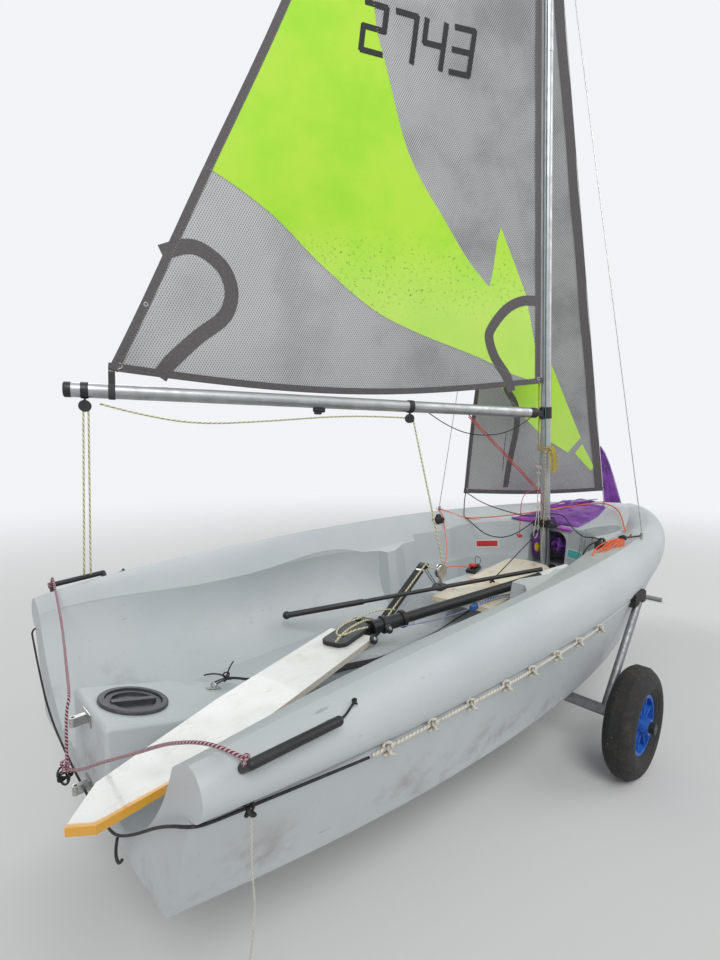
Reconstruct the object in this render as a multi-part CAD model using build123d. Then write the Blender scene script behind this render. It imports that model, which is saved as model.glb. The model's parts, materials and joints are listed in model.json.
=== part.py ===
# Sailing dinghy with a rotomoulded hull, rigged and standing on its launching trolley.
# Millimetres. +X towards the bow, +Y to port, +Z up. Every piece is drawn in the boat's frame, with X from the
# transom and Z from the lowest point of the keel, and is moved as it is written: the origin is on the ground
# under the middle of the overall box.
import os
from math import asin, atan2, cos, degrees, radians, sin, tan

from build123d import *

# Clearances between pieces
SEAT_GAP = 0.3
RING_FIT = 0.15
PIN_FIT = 0.08

# Hull
HULL_LENGTH = 3640
FLOOR_Z = 120
GROOVE_DEPTH = 10
GROOVE_HEIGHT = 14
CHINE_RADIUS = 40
# Stations of the moulding: x, keel height, chine (y, z), foot of the rolled edge (y, z), widest point (y, z),
# crown (y, z), inner edge of the side deck (y, z), deck on the centre line
HULL_STATIONS = (
    dict(x=0, keel=35, chine=(487, 74), side=(588, 326), beam=(638, 398),
         crown=(590, 437), edge=(505, 385), deck=385),
    dict(x=350, keel=16, chine=(535, 50), side=(655, 330), beam=(686, 405),
         crown=(622, 478), edge=(485, 402), deck=402),
    dict(x=900, keel=3, chine=(592, 38), side=(690, 332), beam=(706, 418),
         crown=(640, 508), edge=(470, 408), deck=408),
    dict(x=1400, keel=0, chine=(608, 42), side=(695, 334), beam=(710, 424),
         crown=(638, 523), edge=(450, 412), deck=412),
    dict(x=2000, keel=6, chine=(570, 66), side=(660, 345), beam=(680, 436),
         crown=(600, 534), edge=(405, 455), deck=455),
    dict(x=2500, keel=24, chine=(460, 108), side=(574, 362), beam=(600, 446),
         crown=(510, 538), edge=(384, 486), deck=488),
    dict(x=HULL_LENGTH - 740, keel=54, chine=(338, 160), side=(458, 378), beam=(488, 452),
         crown=(396, 538), edge=(292, 506), deck=508),
    dict(x=HULL_LENGTH - 440, keel=98, chine=(230, 208), side=(340, 390), beam=(371, 456),
         crown=(284, 536), edge=(196, 517), deck=521),
    dict(x=HULL_LENGTH - 210, keel=158, chine=(138, 260), side=(224, 400), beam=(254, 458),
         crown=(178, 534), edge=(112, 518), deck=521),
    dict(x=HULL_LENGTH - 80, keel=222, chine=(78, 305), side=(136, 408), beam=(162, 460),
         crown=(104, 531), edge=(60, 520), deck=521),
    dict(x=HULL_LENGTH, keel=300, chine=(32, 355), side=(58, 415), beam=(76, 462),
         crown=(46, 525), edge=(24, 518), deck=519),
)

# Cockpit well. Aft part by stations: x, floor half width, wall middle (y, z), wall top (y, z)
WELL_STATIONS = (
    dict(x=-60, floor=255, middle=(412, 250), top=(512, 400)),
    dict(x=350, floor=290, middle=(425, 215), top=(496, 410)),
    dict(x=900, floor=330, middle=(440, 205), top=(482, 416)),
    dict(x=1330, floor=335, middle=(436, 205), top=(474, 420)),
    dict(x=1470, floor=300, middle=(372, 210), top=(396, 425)),
)
WELL_TOP = 640
WELL_DRAFT = 8
FRONT_WELL_AFT = 1400
RIB_AFT = 1520
RIB_FORE = 1650
RIB_HALF = 378
FRONT_WELL_SIDE_AFT = 436
FRONT_WELL_SIDE_FORE = 388
FRONT_WELL_BEND_X = 2050
FRONT_WELL_X = 2508
FRONT_WELL_NOSE = 120
LEDGE_Z = 285
LEDGE_AFT = 1710
LEDGE_WIDTH = 36

# Console, spine and centre case on the cockpit floor
CONSOLE_HALF = 135
CONSOLE_AFT_Z = 300
CONSOLE_END_X = 430
CONSOLE_END_Z = 190
SPINE_HALF = 62
SPINE_Z = 160
CASE_HALF = 96
CASE_AFT_X = 1420
CASE_Z = 300
CONSOLE_EDGE = 12
SLOT_AFT_X = 1640
SLOT_LENGTH = 350
SLOT_WIDTH = 36

# Space under the foredeck behind the mast, and the pole's tube in the bow
CAVE_HALF = 112
CAVE_FLOOR_Z = 240
CAVE_TOP_Z = 455
CAVE_END_X = 2760
CAVE_CORNER = 60
POLE_RADIUS = 25
POLE_AFT_X = 2830
POLE_OUT = 55
POLE_Z = 464
POLE_TUBE_RADIUS = 27.5
POLE_TRAVEL = 650

# Hatch on the console
HATCH_X = 112
HATCH_RADIUS = 90
HATCH_THROAT = 74
HATCH_RING_HEIGHT = 9
HATCH_POCKET = 20

# Rig
MAST_RADIUS = 27
MAST_FOOT = (2454, 0, 252)
MAST_RAKE = 4.25
MAST_LENGTH = 5425
MAST_JOINT_AT = 2740
GATE_LENGTH = 132
GATE_WIDTH = 124
GATE_Z = 485
GATE_HEIGHT = 14
TRACK_DEPTH = 10
TRACK_WIDTH = 14
TRACK_SLOT = 4
TRACK_START = 1010
GOOSENECK_AT = 888
HINGE_OFFSET = 45
HOUNDS_AT = 3634
BOOM_RADIUS = 28
BOOM_LENGTH = 2320
BOOM_HEAD = 96
BOOM_CAP = 26
END_BLOCK_AT = BOOM_LENGTH - 70
MIDDLE_BLOCK_AT = 850
BLOCK_DROP = 14
BOOM_REST_ANGLE = 18.9
BOOM_LIFT = 4.8
SAIL_THICKNESS = 4
WIRE_RADIUS = 2
CHAINPLATE_X = 2198
CHAINPLATE_Z = 566
STAY_FOOT = (3290, 0, 552)

# Sails, in the plane of each: along the foot, and up from the hinge or the tack
MAIN_CHORD = 2200
MAIN_CAMBER = 85
MAIN_LUFF_LOW = 165
MAIN_LUFF_HIGH = 4440
MAIN_HEAD = 115
MAIN_CLEW = (2157, 250)
MAIN_LEECH = ((1369, 1736), (620, 3320))
MAIN_FOOT = ((1500, 176), (727, 112))
LUFF_LEAD = 2
CLEW_STRAP_WIDTH = 24
JIB_TACK_UP = 93
JIB_CLEW = (2300, 470, 648)
JIB_CAMBER = 55
JIB_HEAD_GAP = 190

# Fabric of the pole's sail on the foredeck
BAG_OUTLINE = ((0, -150), (0, 262), (274, 240), (674, 96), (712, -26), (374, -112))
BAG_PLACE = (2526, 0, 484)
BAG_SLOPE = 2.8
BAG_HEIGHT = 22
POUCH_SIZE = (70, 86, 172)
POUCH_PLACE = (2530, 64, 372)

# Rudder fittings on the transom
PINTLE_RADIUS = 4.1
GUDGEON_REACH = 34
UPPER_GUDGEON_Z = 272
LOWER_GUDGEON_Z = 92

# Grips and leads on the side decks
GRAB_AFT = (70, 675, 451)
GRAB_FORE = (246, 690, 462)
GRAB_RADIUS = 9.5
FAIRLEAD = (2040, 470, 490)
FAIRLEAD_EYE = 8

# Rudder, tiller and daggerboard stowed in the cockpit
BLADE_HEEL = Vector(860, -60, 275)
BLADE_TIP = Vector(-138, -362, 246)
BLADE_TILT = -2
BLADE_WIDTH = 186
BLADE_THICKNESS = 18
STOCK_HEAD = Vector(985, -112, 300)
STOCK_LENGTH = 262
STOCK_WIDTH = 100
STOCK_CHEEK = 15
TILLER_TIP = Vector(LEDGE_AFT + 180, -378, 402)
TILLER_RADIUS = 20
GRIP_LENGTH = 170
WRAP_RADIUS = TILLER_RADIUS + 2.5
EXTENSION_AT = 800
EXTENSION_RADIUS = 9
EXTENSION_GRIP_RADIUS = 12.5
EXTENSION_GRIP_LENGTH = 330
EXTENSION_END = Vector(862, 352, 236)
BOARD_WIDTH = 262
BOARD_THICKNESS = 20
BOARD_Z = CASE_Z + BOARD_THICKNESS / 2 + SEAT_GAP
BOARD_HEEL = Vector(1345, -187, BOARD_Z)
BOARD_TIP = Vector(2225, -42, BOARD_Z)

# Toe straps and the mainsheet's base
STRAP_WIDTH = 44
STRAP_THICKNESS = 3
STRAP_Z = SPINE_Z + SEAT_GAP + STRAP_THICKNESS / 2
STRAP_PORT = ((600, 26, STRAP_Z), (1010, 30, STRAP_Z), (1490, 132, 388))
STRAP_STARBOARD = ((600, -26, STRAP_Z), (860, -32, STRAP_Z), (1010, -142, 170), (1330, -160, 124), (1400, -132, 178))
SHEET_BASE_X = 1485
SHEET_BASE_Y = 24
SHEET_BASE_HEIGHT = 20

# Trolley
WHEEL_X = 1600
WHEEL_Y = 780
TYRE_RADIUS = 200
TYRE_WIDTH = 100
RIM_RADIUS = 117
AXLE_Z = -35
BEAM_RADIUS = 21
BEAM_HALF = 715
STUB_RADIUS = 10
DRAWBAR_RADIUS = 24
HANDLE_X = HULL_LENGTH + 260
HANDLE_HALF = 230
HANDLE_RADIUS = 16
GROUND_Z = AXLE_Z - TYRE_RADIUS
SUPPORT_FOOT_Y = 672
SUPPORT_X = 1880
SUPPORT_Y = 686
SUPPORT_TOP_Z = 326
SUPPORT_RADIUS = 15
PAD_LENGTH = 120
BOW_POST_X = HULL_LENGTH - 410
BOW_POST_TOP = 60
BOW_POST_RADIUS = 19
CHOCK_TOP = 175


def rod(start, end, radius):
    """Round bar from one point to another."""
    start = Vector(*start)
    end = Vector(*end)
    span = end - start
    plane = Plane(origin=start, z_dir=span.normalized())
    return plane * Cylinder(radius, span.length, align=(Align.CENTER, Align.CENTER, Align.MIN))


def both_sides(shape):
    """A piece and its mirror image across the centre line."""
    return [shape, mirror(shape, about=Plane.XZ)]


def station_value(x, key, index):
    """A coordinate of the hull's outline between two stations, by straight interpolation."""
    for low, high in zip(HULL_STATIONS, HULL_STATIONS[1:]):
        if low["x"] <= x <= high["x"]:
            share = (x - low["x"]) / (high["x"] - low["x"])
            return low[key][index] + share * (high[key][index] - low[key][index])
    raise ValueError("x is outside the hull")


# Hull moulding
def hull_half(s, side_sign):
    """Half of the hull's outline at one station, from the keel to the middle of the deck."""
    def at(y, z):
        return (s["x"], side_sign * y, z)

    side_y, side_z = s["side"]
    groove = min(GROOVE_DEPTH, 0.1 * side_y)
    side = at(side_y, side_z)
    inner = at(side_y - groove, side_z + GROOVE_HEIGHT / 2)
    roll = at(side_y + groove / 2, side_z + GROOVE_HEIGHT)
    crown = s["crown"]
    edge = s["edge"]
    shoulder = at(0.52 * crown[0] + 0.48 * edge[0], 0.66 * crown[1] + 0.34 * edge[1])
    chine_radius = min(CHINE_RADIUS, 0.3 * s["chine"][0])
    bottom = FilletPolyline(at(0, s["keel"]), at(*s["chine"]), side, radius=chine_radius)
    return [
        *bottom.edges(),
        Line(side, inner),
        Line(inner, roll),
        ThreePointArc(roll, at(*s["beam"]), at(*crown)),
        ThreePointArc(at(*crown), shoulder, at(*edge)),
        Line(at(*edge), at(0, s["deck"])),
    ]


def hull_section(s):
    return Wire([e.edge() for e in hull_half(s, 1) + hull_half(s, -1)[::-1]])


def well_half(s, side_sign):
    """Half of the aft cockpit's outline at one station."""
    def at(y, z):
        return (s["x"], side_sign * y, z)

    top_y, top_z = s["top"]
    return [
        Line(at(0, FLOOR_Z), at(s["floor"], FLOOR_Z)),
        ThreePointArc(at(s["floor"], FLOOR_Z), at(*s["middle"]), at(top_y, top_z)),
        Line(at(top_y, top_z), at(top_y, WELL_TOP)),
        Line(at(top_y, WELL_TOP), at(0, WELL_TOP)),
    ]


def well_section(s):
    return Wire([e.edge() for e in well_half(s, 1) + well_half(s, -1)[::-1]])


def front_well(widen, aft_x, floor_z):
    """U-shaped front of the cockpit, narrower towards its floor."""
    aft_side = FRONT_WELL_SIDE_AFT + widen
    fore_side = FRONT_WELL_SIDE_FORE + widen
    bend = (FRONT_WELL_BEND_X, fore_side)
    nose = (FRONT_WELL_X, FRONT_WELL_NOSE)
    knuckle = (FRONT_WELL_BEND_X + 310, fore_side - 82)
    rib_end = (max(RIB_AFT, aft_x), RIB_HALF + widen)
    recess = (max(RIB_FORE, aft_x + 60), aft_side)
    port = [
        Line((aft_x, 0), (aft_x, rib_end[1])),
        Line((aft_x, rib_end[1]), rib_end) if rib_end[0] > aft_x else None,
        Line(rib_end, recess),
        Line(recess, bend),
        ThreePointArc(bend, knuckle, nose),
        Line(nose, (FRONT_WELL_X, 0)),
    ]
    port = [e for e in port if e]
    starboard = [mirror(e, about=Plane.XZ) for e in port]
    outline = make_face(Wire([e.edge() for e in port + starboard]))
    return extrude(Pos(0, 0, WELL_TOP) * outline, amount=WELL_TOP - floor_z, dir=(0, 0, -1), taper=WELL_DRAFT)


def console():
    """Aft console, spine and centre case: the side view crossed with the plan."""
    bottom = FLOOR_Z - 30
    end_x = FRONT_WELL_X + 20
    side_view = Polyline(
        (0, bottom), (0, CONSOLE_AFT_Z), (CONSOLE_END_X, CONSOLE_END_Z), (CONSOLE_END_X + 90, SPINE_Z),
        (CASE_AFT_X - 60, SPINE_Z), (CASE_AFT_X, CASE_Z), (FRONT_WELL_X - 330, CASE_Z),
        (FRONT_WELL_X - 270, CAVE_FLOOR_Z), (end_x, CAVE_FLOOR_Z), (end_x, bottom), close=True)
    half_plan = [
        (0, CONSOLE_HALF), (CONSOLE_END_X - 160, CONSOLE_HALF), (CONSOLE_END_X + 60, SPINE_HALF),
        (CASE_AFT_X - 80, SPINE_HALF), (CASE_AFT_X, CASE_HALF), (end_x, CASE_HALF)]
    plan = Polyline(*half_plan, *[(x, -y) for x, y in reversed(half_plan)], close=True)
    raised = extrude(Plane.XZ * make_face(side_view), amount=CONSOLE_HALF * 2, both=True)
    raised = raised & extrude(make_face(plan), amount=CONSOLE_AFT_Z * 2)
    edges = [e for e in raised.edges() if e.center().Z > FLOOR_Z and e.center().X < FRONT_WELL_X - 300]
    return fillet(edges, CONSOLE_EDGE)


def build_hull():
    body = Solid.make_loft([hull_section(s) for s in HULL_STATIONS])
    well = Solid.make_loft([well_section(s) for s in WELL_STATIONS])
    body = body - well - front_well(0, FRONT_WELL_AFT, FLOOR_Z) - front_well(LEDGE_WIDTH, LEDGE_AFT, LEDGE_Z)
    body = body + console()
    slot_height = CASE_Z + 200
    slot = Pos(SLOT_AFT_X + SLOT_LENGTH / 2, 0, -100) * extrude(
        SlotOverall(SLOT_LENGTH, SLOT_WIDTH), amount=slot_height)
    cave_height = CAVE_TOP_Z - CAVE_FLOOR_Z
    cave_face = Rectangle(2 * CAVE_HALF, cave_height)
    cave_face = fillet(cave_face.vertices().group_by(Axis.Y)[-1], CAVE_CORNER)
    cave_start = FRONT_WELL_X - 160
    cave_plane = Plane(origin=(cave_start, 0, (CAVE_TOP_Z + CAVE_FLOOR_Z) / 2), x_dir=(0, 1, 0), z_dir=(1, 0, 0))
    cave = extrude(cave_plane * cave_face, amount=CAVE_END_X - cave_start)
    pole_tube = rod((POLE_AFT_X - 10, 0, POLE_Z), (HULL_LENGTH + 50, 0, POLE_Z), POLE_TUBE_RADIUS)
    hatch_pocket = hatch_plane() * Cylinder(HATCH_THROAT + 3, 2 * HATCH_POCKET)
    return body - slot - cave - pole_tube - hatch_pocket


def hatch_plane():
    """Plane on the sloping top of the console, under the hatch."""
    slope = atan2(CONSOLE_AFT_Z - CONSOLE_END_Z, CONSOLE_END_X)
    height = CONSOLE_AFT_Z - HATCH_X * tan(slope)
    return Plane(origin=(HATCH_X, 0, height), x_dir=(cos(slope), 0, -sin(slope)), z_dir=(sin(slope), 0, cos(slope)))


# Hatch
def hatch_ring():
    foot = 2 * HATCH_RING_HEIGHT
    ring = Cylinder(HATCH_RADIUS, HATCH_RING_HEIGHT, align=(Align.CENTER, Align.CENTER, Align.MIN))
    ring = fillet(ring.edges().group_by(Axis.Z)[-1], 4)
    neck = Pos(0, 0, -foot) * Cylinder(HATCH_THROAT + 2.5, foot, align=(Align.CENTER, Align.CENTER, Align.MIN))
    throat = Cylinder(HATCH_THROAT, 6 * HATCH_RING_HEIGHT)
    return hatch_plane() * Pos(0, 0, SEAT_GAP) * (ring + neck - throat)


def hatch_lid():
    radius = HATCH_THROAT - SEAT_GAP
    disc = Pos(0, 0, -12) * Cylinder(radius, 16, align=(Align.CENTER, Align.CENTER, Align.MIN))
    disc = fillet(disc.edges().group_by(Axis.Z)[-1], 3)
    dish = Pos(0, 0, 4) * Cylinder(radius - 16, 16)
    grip = Pos(0, 0, -7) * Box(2 * radius - 28, 18, 15, align=(Align.CENTER, Align.CENTER, Align.MIN))
    return hatch_plane() * (disc - dish + grip)


# Frames of the rig
def mast_plane():
    rake = radians(MAST_RAKE)
    return Plane(origin=MAST_FOOT, x_dir=(-cos(rake), 0, -sin(rake)), z_dir=(-sin(rake), 0, cos(rake)))


def on_mast(aft, across, up):
    """Point given along the mast's own axes, in the boat's frame."""
    return mast_plane().from_local_coords(Vector(aft, across, up))


def sail_plane():
    """Plane of the mainsail: x aft along the foot, y to starboard, z up the hinge line behind the mast."""
    base = mast_plane()
    origin = on_mast(HINGE_OFFSET, 0, GOOSENECK_AT)
    turned = base.rotated((0, 0, -BOOM_REST_ANGLE))
    return Plane(origin=origin, x_dir=turned.x_dir, z_dir=base.z_dir)


# Mast
def track(low, high):
    rail = Pos(MAST_RADIUS + TRACK_DEPTH / 2 - 2, 0, low) * Box(
        TRACK_DEPTH + 4, TRACK_WIDTH, high - low, align=(Align.CENTER, Align.CENTER, Align.MIN))
    slot = Pos(MAST_RADIUS + TRACK_DEPTH / 2 + 2, 0, low) * Box(
        TRACK_DEPTH, TRACK_SLOT, high - low, align=(Align.CENTER, Align.CENTER, Align.MIN))
    return rail - slot


def mast_piece(low, high):
    tube = Pos(0, 0, low) * Cylinder(MAST_RADIUS, high - low, align=(Align.CENTER, Align.CENTER, Align.MIN))
    return mast_plane() * (tube + track(max(low, TRACK_START), high))


def mast_collar():
    height = 30
    ring = Cylinder(MAST_RADIUS + 1.5, height) - Cylinder(MAST_RADIUS + RING_FIT, height)
    gap = Pos(MAST_RADIUS + 6, 0, 0) * Box(16, TRACK_WIDTH + 2 * RING_FIT, height)
    return mast_plane() * Pos(0, 0, MAST_JOINT_AT) * (ring - gap)


def mast_foot():
    plate_height = MAST_FOOT[2] - CAVE_FLOOR_Z - 2 * SEAT_GAP
    plate = Box(110, 90, plate_height, align=(Align.CENTER, Align.CENTER, Align.MIN))
    plate = fillet(plate.edges().filter_by(Axis.Z), 18)
    return Pos(MAST_FOOT[0], 0, CAVE_FLOOR_Z + SEAT_GAP) * plate - mast_plane() * Box(200, 200, 40, align=(
        Align.CENTER, Align.CENTER, Align.MIN))


def mast_gate(hull):
    """Plate on the foredeck's edge that keeps the mast upright."""
    plate = Pos(MAST_FOOT[0], 0, GATE_Z) * Box(
        GATE_LENGTH, GATE_WIDTH, GATE_HEIGHT, align=(Align.CENTER, Align.CENTER, Align.MIN))
    plate = fillet(plate.edges().filter_by(Axis.Z), 26)
    mast_room = mast_plane() * Cylinder(MAST_RADIUS + RING_FIT, 1200)
    return plate - Pos(0, 0, SEAT_GAP) * hull - mast_room


def masthead():
    cap = Pos(0, 0, MAST_LENGTH + SEAT_GAP) * Cylinder(MAST_RADIUS, 22, align=(Align.CENTER, Align.CENTER, Align.MIN))
    cheeks = Pos(MAST_RADIUS + 6, 0, MAST_LENGTH + SEAT_GAP) * Box(
        46, 22, 22, align=(Align.CENTER, Align.CENTER, Align.MIN))
    wheel_slot = Pos(MAST_RADIUS + 14, 0, MAST_LENGTH) * Box(40, 10, 60)
    sheave = Pos(MAST_RADIUS + 14, 0, MAST_LENGTH + 13) * Rot(90, 0, 0) * Cylinder(10, 24)
    return mast_plane() * (cap + cheeks - wheel_slot + sheave)


def gooseneck():
    """Collar on the mast with two ears and the boom's pin."""
    height = 64
    ear_length = HINGE_OFFSET + 12
    sleeve = Cylinder(MAST_RADIUS + 5, height)
    ears = Pos(ear_length / 2, 0, 0) * Box(ear_length, 24, height)
    ears = fillet(ears.edges().filter_by(Axis.Z).group_by(Axis.X)[-1], 11)
    mouth = Pos(HINGE_OFFSET + 9, 0, 0) * Box(40, 40, 36)
    bore = Cylinder(MAST_RADIUS + RING_FIT, 2 * height)
    pin = Pos(HINGE_OFFSET, 0, 0) * Cylinder(4, height + 10)
    return mast_plane() * Pos(0, 0, GOOSENECK_AT) * (sleeve + ears - mouth - bore + pin)


# Boom
def boom_plane():
    """Along the boom: x towards its end, z up, from the hinge line."""
    base = sail_plane()
    lifted = base.rotated((0, BOOM_LIFT, 0))
    return Plane(origin=base.origin, x_dir=lifted.x_dir, z_dir=lifted.z_dir)


def boom_tube():
    length = BOOM_LENGTH - BOOM_HEAD - BOOM_CAP
    return boom_plane() * Pos(BOOM_HEAD, 0, 0) * Rot(0, 90, 0) * Cylinder(
        BOOM_RADIUS, length, align=(Align.CENTER, Align.CENTER, Align.MIN))


def boom_head():
    """Casting at the front of the boom: an eye on the pin, a neck and a round plug."""
    eye_height = 34
    eye = Cylinder(10, eye_height)
    neck = Pos(28, 0, 0) * Box(56, 16, eye_height - 4)
    plug = Pos(48, 0, 0) * Rot(0, 90, 0) * Cylinder(
        BOOM_RADIUS, BOOM_HEAD - 48 - RING_FIT, align=(Align.CENTER, Align.CENTER, Align.MIN))
    body = boom_plane() * (neck + plug)
    hinge = sail_plane() * eye
    return body + hinge - sail_plane() * Cylinder(4 + PIN_FIT, 60)


def boom_cap():
    start = BOOM_LENGTH - BOOM_CAP + RING_FIT
    cap = Pos(start, 0, 0) * Rot(0, 90, 0) * Cylinder(
        BOOM_RADIUS + 1, BOOM_CAP, align=(Align.CENTER, Align.CENTER, Align.MIN))
    return boom_plane() * fillet(cap.edges().group_by(Axis.X)[-1], 8)


def boom_block(at):
    """Block hung under the boom: strap round the tube, and a sheave between cheeks."""
    strap = Rot(0, 90, 0) * (Cylinder(BOOM_RADIUS + 3, 26) - Cylinder(BOOM_RADIUS + RING_FIT, 30))
    link = Pos(0, 0, -BOOM_RADIUS - BLOCK_DROP / 2) * Box(8, 8, BLOCK_DROP)
    cheek = Rot(90, 0, 0) * Cylinder(22, 18)
    groove = Rot(90, 0, 0) * (Cylinder(24, 8) - Cylinder(15, 8))
    block = Pos(0, 0, -BOOM_RADIUS - BLOCK_DROP - 16) * (cheek - groove)
    return boom_plane() * Pos(at, 0, 0) * (strap + link + block)


# Sails, each a curved sheet bent about the line of its luff and cut to its outline
def curved_sheet(chord, camber, low, high):
    """Sheet of constant curvature whose arc starts on the luff, bulging towards local -y."""
    radius = chord * chord / (8 * camber) + camber / 2 - SAIL_THICKNESS / 2
    tilt = degrees(asin(chord / 2 / radius))
    span = degrees(asin(chord / 2 / radius)) * 2
    centre = (chord / 2, radius + SAIL_THICKNESS / 2 - camber)
    ring = CenterArc(centre, radius, -90 - tilt, span)
    outer = CenterArc(centre, radius + SAIL_THICKNESS, -90 - tilt, span)
    sheet = make_face(Wire([ring, Line(ring @ 1, outer @ 1), outer, Line(outer @ 0, ring @ 0)]))
    return Pos(0, 0, low) * extrude(sheet, amount=high - low)


def mainsail():
    outline = Polyline(
        (-LUFF_LEAD, MAIN_LUFF_LOW), (-LUFF_LEAD, MAIN_LUFF_HIGH), (MAIN_HEAD, MAIN_LUFF_HIGH - 20),
        MAIN_LEECH[1], MAIN_LEECH[0], MAIN_CLEW, *MAIN_FOOT, close=True)
    prism = extrude(Plane.XZ * make_face(outline), amount=400, both=True)
    sheet = Pos(-LUFF_LEAD, 0, 0) * curved_sheet(MAIN_CHORD, MAIN_CAMBER, 50, MAIN_LUFF_HIGH + 20)
    return sail_plane() * (sheet & prism)


def clew_strap():
    """Webbing round the boom, with a tail up to the sail's clew."""
    corner = sail_plane().from_local_coords(Vector(MAIN_CLEW[0], -1.5 * SAIL_THICKNESS, MAIN_CLEW[1]))
    clew = boom_plane().to_local_coords(corner)
    band = Rot(0, 90, 0) * (Cylinder(BOOM_RADIUS + 3, CLEW_STRAP_WIDTH)
                            - Cylinder(BOOM_RADIUS + RING_FIT, CLEW_STRAP_WIDTH + 4))
    tail_length = clew.Z - SEAT_GAP - 1 - BOOM_RADIUS - RING_FIT
    tail = Pos(0, clew.Y, BOOM_RADIUS + RING_FIT + tail_length / 2) * Box(CLEW_STRAP_WIDTH, 3, tail_length)
    return boom_plane() * Pos(clew.X - CLEW_STRAP_WIDTH / 2, 0, 0) * (band + tail)


def hounds_point():
    return on_mast(-MAST_RADIUS - 12, 0, HOUNDS_AT)


def jib_plane():
    """x from the luff towards the clew, z up the forestay."""
    up = (hounds_point() - Vector(*STAY_FOOT)).normalized()
    tack = Vector(*STAY_FOOT) + up * JIB_TACK_UP
    to_clew = Vector(*JIB_CLEW) - tack
    across = (to_clew - up * to_clew.dot(up)).normalized()
    return Plane(origin=tack, x_dir=across, z_dir=up)


def jib():
    plane = jib_plane()
    clew = plane.to_local_coords(Vector(*JIB_CLEW))
    head = (hounds_point() - plane.origin).length - JIB_HEAD_GAP
    chord = clew.X + 30
    outline = Polyline((1, 0), (1, head), (60, head), (clew.X, clew.Z), (clew.X / 2, clew.Z / 2 - 40), close=True)
    prism = extrude(Plane.XZ * make_face(outline), amount=300, both=True)
    sheet = curved_sheet(chord, JIB_CAMBER, -400, head + 20)
    top = hounds_point()
    return plane * (sheet & prism) - rod(STAY_FOOT, (top.X, top.Y, top.Z), WIRE_RADIUS + SEAT_GAP)


# Standing rigging and its fittings
def chainplate_foot():
    return (CHAINPLATE_X, station_value(CHAINPLATE_X, "crown", 0) + 22, CHAINPLATE_Z)


def shroud():
    low = chainplate_foot()
    top = on_mast(0, -MAST_RADIUS - 8, HOUNDS_AT)
    return rod(low, (top.X, top.Y, top.Z), WIRE_RADIUS)


def forestay():
    top = hounds_point()
    return rod(STAY_FOOT, (top.X, top.Y, top.Z), WIRE_RADIUS)


def hounds():
    """Band round the mast with three tangs for the stays."""
    ring = Cylinder(MAST_RADIUS + 3, 30) - Cylinder(MAST_RADIUS + RING_FIT, 40)
    gap = Pos(MAST_RADIUS + 6, 0, 0) * Box(16, TRACK_WIDTH + 2 * RING_FIT, 40)
    side = Pos(0, MAST_RADIUS + 8, 6) * Box(16, 14, 18)
    front = Pos(-MAST_RADIUS - 10, 0, 6) * Box(18, 12, 18)
    band = mast_plane() * Pos(0, 0, HOUNDS_AT) * (ring - gap + side + mirror(side, about=Plane.XZ) + front)
    for wire in (*both_sides(shroud()), forestay()):
        band = band - wire
    return band


def chainplate():
    x, y, z = chainplate_foot()
    base_z = z - 46
    plate = Pos(x, y, base_z) * Box(70, 30, 60, align=(Align.CENTER, Align.CENTER, Align.MAX))
    tang = Pos(x, y, base_z - 10) * Box(16, 8, z + 6 - base_z, align=(Align.CENTER, Align.CENTER, Align.MIN))
    return plate + tang


# Gennaker pole and its ring in the bow
def gennaker_pole():
    length = HULL_LENGTH + POLE_OUT - POLE_AFT_X
    tube = Pos(POLE_AFT_X, 0, POLE_Z) * Rot(0, 90, 0) * Cylinder(
        POLE_RADIUS, length, align=(Align.CENTER, Align.CENTER, Align.MIN))
    return fillet(tube.edges().group_by(Axis.X)[-1], 8)


def bow_ring():
    ring = Pos(HULL_LENGTH - 60, 0, POLE_Z) * Rot(0, 90, 0) * Cylinder(
        POLE_TUBE_RADIUS - RING_FIT, 80, align=(Align.CENTER, Align.CENTER, Align.MIN))
    return ring - rod((HULL_LENGTH - 90, 0, POLE_Z), (HULL_LENGTH + 90, 0, POLE_Z), POLE_RADIUS + SEAT_GAP)


# Stowed rudder, tiller and daggerboard
def lying_plane(heel, tip, tilt=0):
    """Plane of a blade: x from its heel to its tip, y across it, z out of its upper face."""
    along = (tip - heel).normalized()
    across = Vector(0, 0, 1).cross(along).normalized()
    return Plane(origin=heel, x_dir=along, z_dir=along.cross(across)).rotated((tilt, 0, 0))


def rudder_blade():
    length = (BLADE_TIP - BLADE_HEEL).length
    half = BLADE_WIDTH / 2
    outline = make_face(Polyline(
        (0, -half), (length * 0.55, -half), (length * 0.9, -0.72 * half), (length, 0), (length * 0.97, 0.5 * half),
        (length * 0.8, 0.86 * half), (length * 0.55, half), (0, half), close=True))
    return lying_plane(BLADE_HEEL, BLADE_TIP, BLADE_TILT) * extrude(outline, amount=BLADE_THICKNESS / 2, both=True)


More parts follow.
